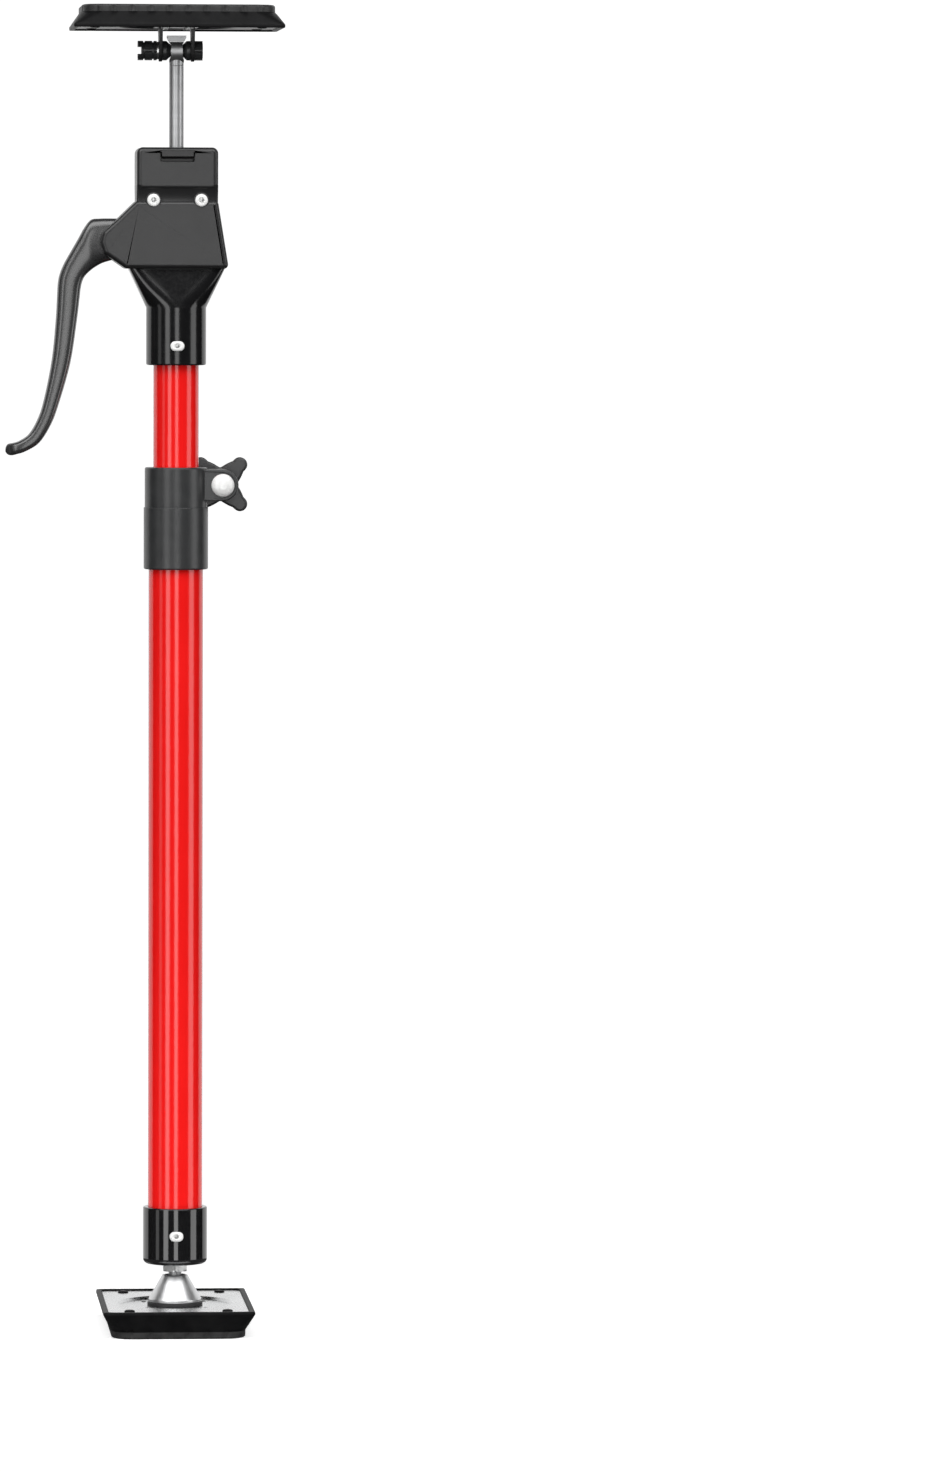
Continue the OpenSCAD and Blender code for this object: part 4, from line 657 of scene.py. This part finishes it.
def stage_sheet(name, points, faces, colour, glow, mirrored=1.0):
    """A plain sheet that shows white to the camera and keeps shadows; reflections see `mirrored` of its light."""
    mesh = bpy.data.meshes.new(name)
    mesh.from_pydata(points, [], faces)
    sheet = bpy.data.objects.new(name, mesh)
    bpy.context.scene.collection.objects.link(sheet)
    material, nodes, links, shader = new_finish(name + "_paper")
    shader.inputs["Roughness"].default_value = 0.9
    shader.inputs["Specular IOR Level"].default_value = 0.0
    shader.inputs["Emission Color"].default_value = (1, 1, 1, 1)
    path = nodes.new("ShaderNodeLightPath")
    seen = nodes.new("ShaderNodeMath")
    seen.operation = "MAXIMUM"
    dimmed = nodes.new("ShaderNodeMath")
    dimmed.operation = "MULTIPLY"
    dimmed.inputs[1].default_value = mirrored
    links.new(path.outputs["Is Glossy Ray"], dimmed.inputs[0])
    links.new(path.outputs["Is Camera Ray"], seen.inputs[0])
    links.new(dimmed.outputs[0], seen.inputs[1])
    shade = nodes.new("ShaderNodeMapRange")
    shade.inputs["To Min"].default_value = colour
    shade.inputs["To Max"].default_value = colour * mirrored
    links.new(path.outputs["Is Glossy Ray"], shade.inputs["Value"])
    links.new(shade.outputs["Result"], shader.inputs["Base Color"])
    through = nodes.new("ShaderNodeMath")
    through.operation = "MAXIMUM"
    links.new(seen.outputs[0], through.inputs[0])
    links.new(path.outputs["Is Transmission Ray"], through.inputs[1])
    level = nodes.new("ShaderNodeMath")
    level.operation = "MULTIPLY"
    level.inputs[1].default_value = glow
    links.new(through.outputs[0], level.inputs[0])
    links.new(level.outputs[0], shader.inputs["Emission Strength"])
    mesh.materials.append(material)
    return sheet


table_turn = np.linspace(0, 2 * np.pi, 96, endpoint=False)
table_reach = 0.26
table_rim = np.stack([table_reach * np.cos(table_turn), table_reach * np.sin(table_turn), 0 * table_turn], 1)
stage_sheet("studio_floor", table_rim.tolist(), [tuple(range(96))], 0.85, 0.62, 0.1)
sweep_turn = np.linspace(np.radians(25), np.radians(155), 49)
sweep_reach, sweep_low, sweep_high = 19.5, -7.5, 18.0
sweep = np.stack([sweep_reach * np.cos(sweep_turn), sweep_reach * np.sin(sweep_turn)], 1)
sweep_points = np.concatenate([np.c_[sweep, np.full(49, sweep_low)], np.c_[sweep, np.full(49, sweep_high)]])
stage_sheet("studio_backdrop", sweep_points.tolist(), grid_quads(2, 49, False, False).tolist(), 0.8, 1.0)

world = bpy.data.worlds.new("studio_air")
bpy.context.scene.world = world
world.use_nodes = True
dim_air = 0.0132
air, air_links = world.node_tree.nodes, world.node_tree.links
air_light = air["Background"]
air_path = air.new("ShaderNodeLightPath")
air_level = air.new("ShaderNodeMapRange")
air_light.inputs["Color"].default_value = (1, 1, 1, 1)
air_level.inputs["To Min"].default_value = dim_air
air_level.inputs["To Max"].default_value = 1.0
air_links.new(air_path.outputs["Is Camera Ray"], air_level.inputs["Value"])
air_links.new(air_level.outputs["Result"], air_light.inputs["Strength"])

camera_place = np.array([-0.218, -4.8, 0.578])
camera_turn, camera_drop, camera_roll = np.radians([4.5515, -2.9831, 0.1739])
ahead = np.array([np.sin(camera_turn) * np.cos(camera_drop), np.cos(camera_turn) * np.cos(camera_drop),
                  np.sin(camera_drop)])
aside = np.array([np.cos(camera_turn), -np.sin(camera_turn), 0.0])
above = np.cross(aside, ahead)
level_aside = aside * np.cos(camera_roll) + above * np.sin(camera_roll)
level_above = above * np.cos(camera_roll) - aside * np.sin(camera_roll)
lens = bpy.data.cameras.new("catalogue_camera")
lens.lens = 213.79
lens.sensor_width = 36
lens.clip_end = 50
camera = bpy.data.objects.new("catalogue_camera", lens)
camera.matrix_world = Matrix((
    (level_aside[0], level_above[0], -ahead[0], camera_place[0]),
    (level_aside[1], level_above[1], -ahead[1], camera_place[1]),
    (level_aside[2], level_above[2], -ahead[2], camera_place[2]),
    (0, 0, 0, 1)))
bpy.context.scene.collection.objects.link(camera)
bpy.context.scene.camera = camera


toward_camera = -np.array([ahead[0], ahead[1], 0.0])
toward_camera /= np.linalg.norm(toward_camera)
camera_right = np.array([-toward_camera[1], toward_camera[0], 0.0])
pole_middle = 0.4


def soft_lamp(name, bearing, rise, glow, size, distance, height):
    """A soft rectangle `bearing` degrees to the camera's right and `rise` degrees up, turned to the pole; its power
    is glow times pi times its area, so `glow` is the brightness that a reflection shows."""
    turn, lift = np.radians(bearing), np.radians(rise)
    flat = toward_camera * np.cos(turn) + camera_right * np.sin(turn)
    out = flat * np.cos(lift) + np.array([0, 0, np.sin(lift)])
    light = bpy.data.lights.new(name, "AREA")
    light.shape = "RECTANGLE"
    light.size, light.size_y = size
    light.energy = glow * np.pi * size[0] * size[1]
    lamp = bpy.data.objects.new(name, light)
    lamp.location = out * distance + np.array([0, 0, height])
    lamp.rotation_euler = Vector(out).to_track_quat("Z", "Y").to_euler()
    lamp.visible_camera = False
    bpy.context.scene.collection.objects.link(lamp)


strip_distance, strip_low = 5.6, -1.6
for name, bearing, width, glow, high in (("left_far_strip", -64, 13, 0.9, 3.0), ("left_strip", -31, 17, 3.0, 3.0),
                                         ("front_strip", 5.5, 14, 3.2, 2.5), ("right_strip", 72, 24, 2.3, 3.0)):
    span = 2 * strip_distance * np.tan(np.radians(width / 2))
    soft_lamp(name, bearing, 0, glow, (span, high - strip_low), strip_distance, (strip_low + high) / 2)
soft_lamp("high_softbox", 0, 53, 3.7, (9.0, 3.0), 4.5, pole_middle)

bpy.context.scene.view_settings.view_transform = "Standard"
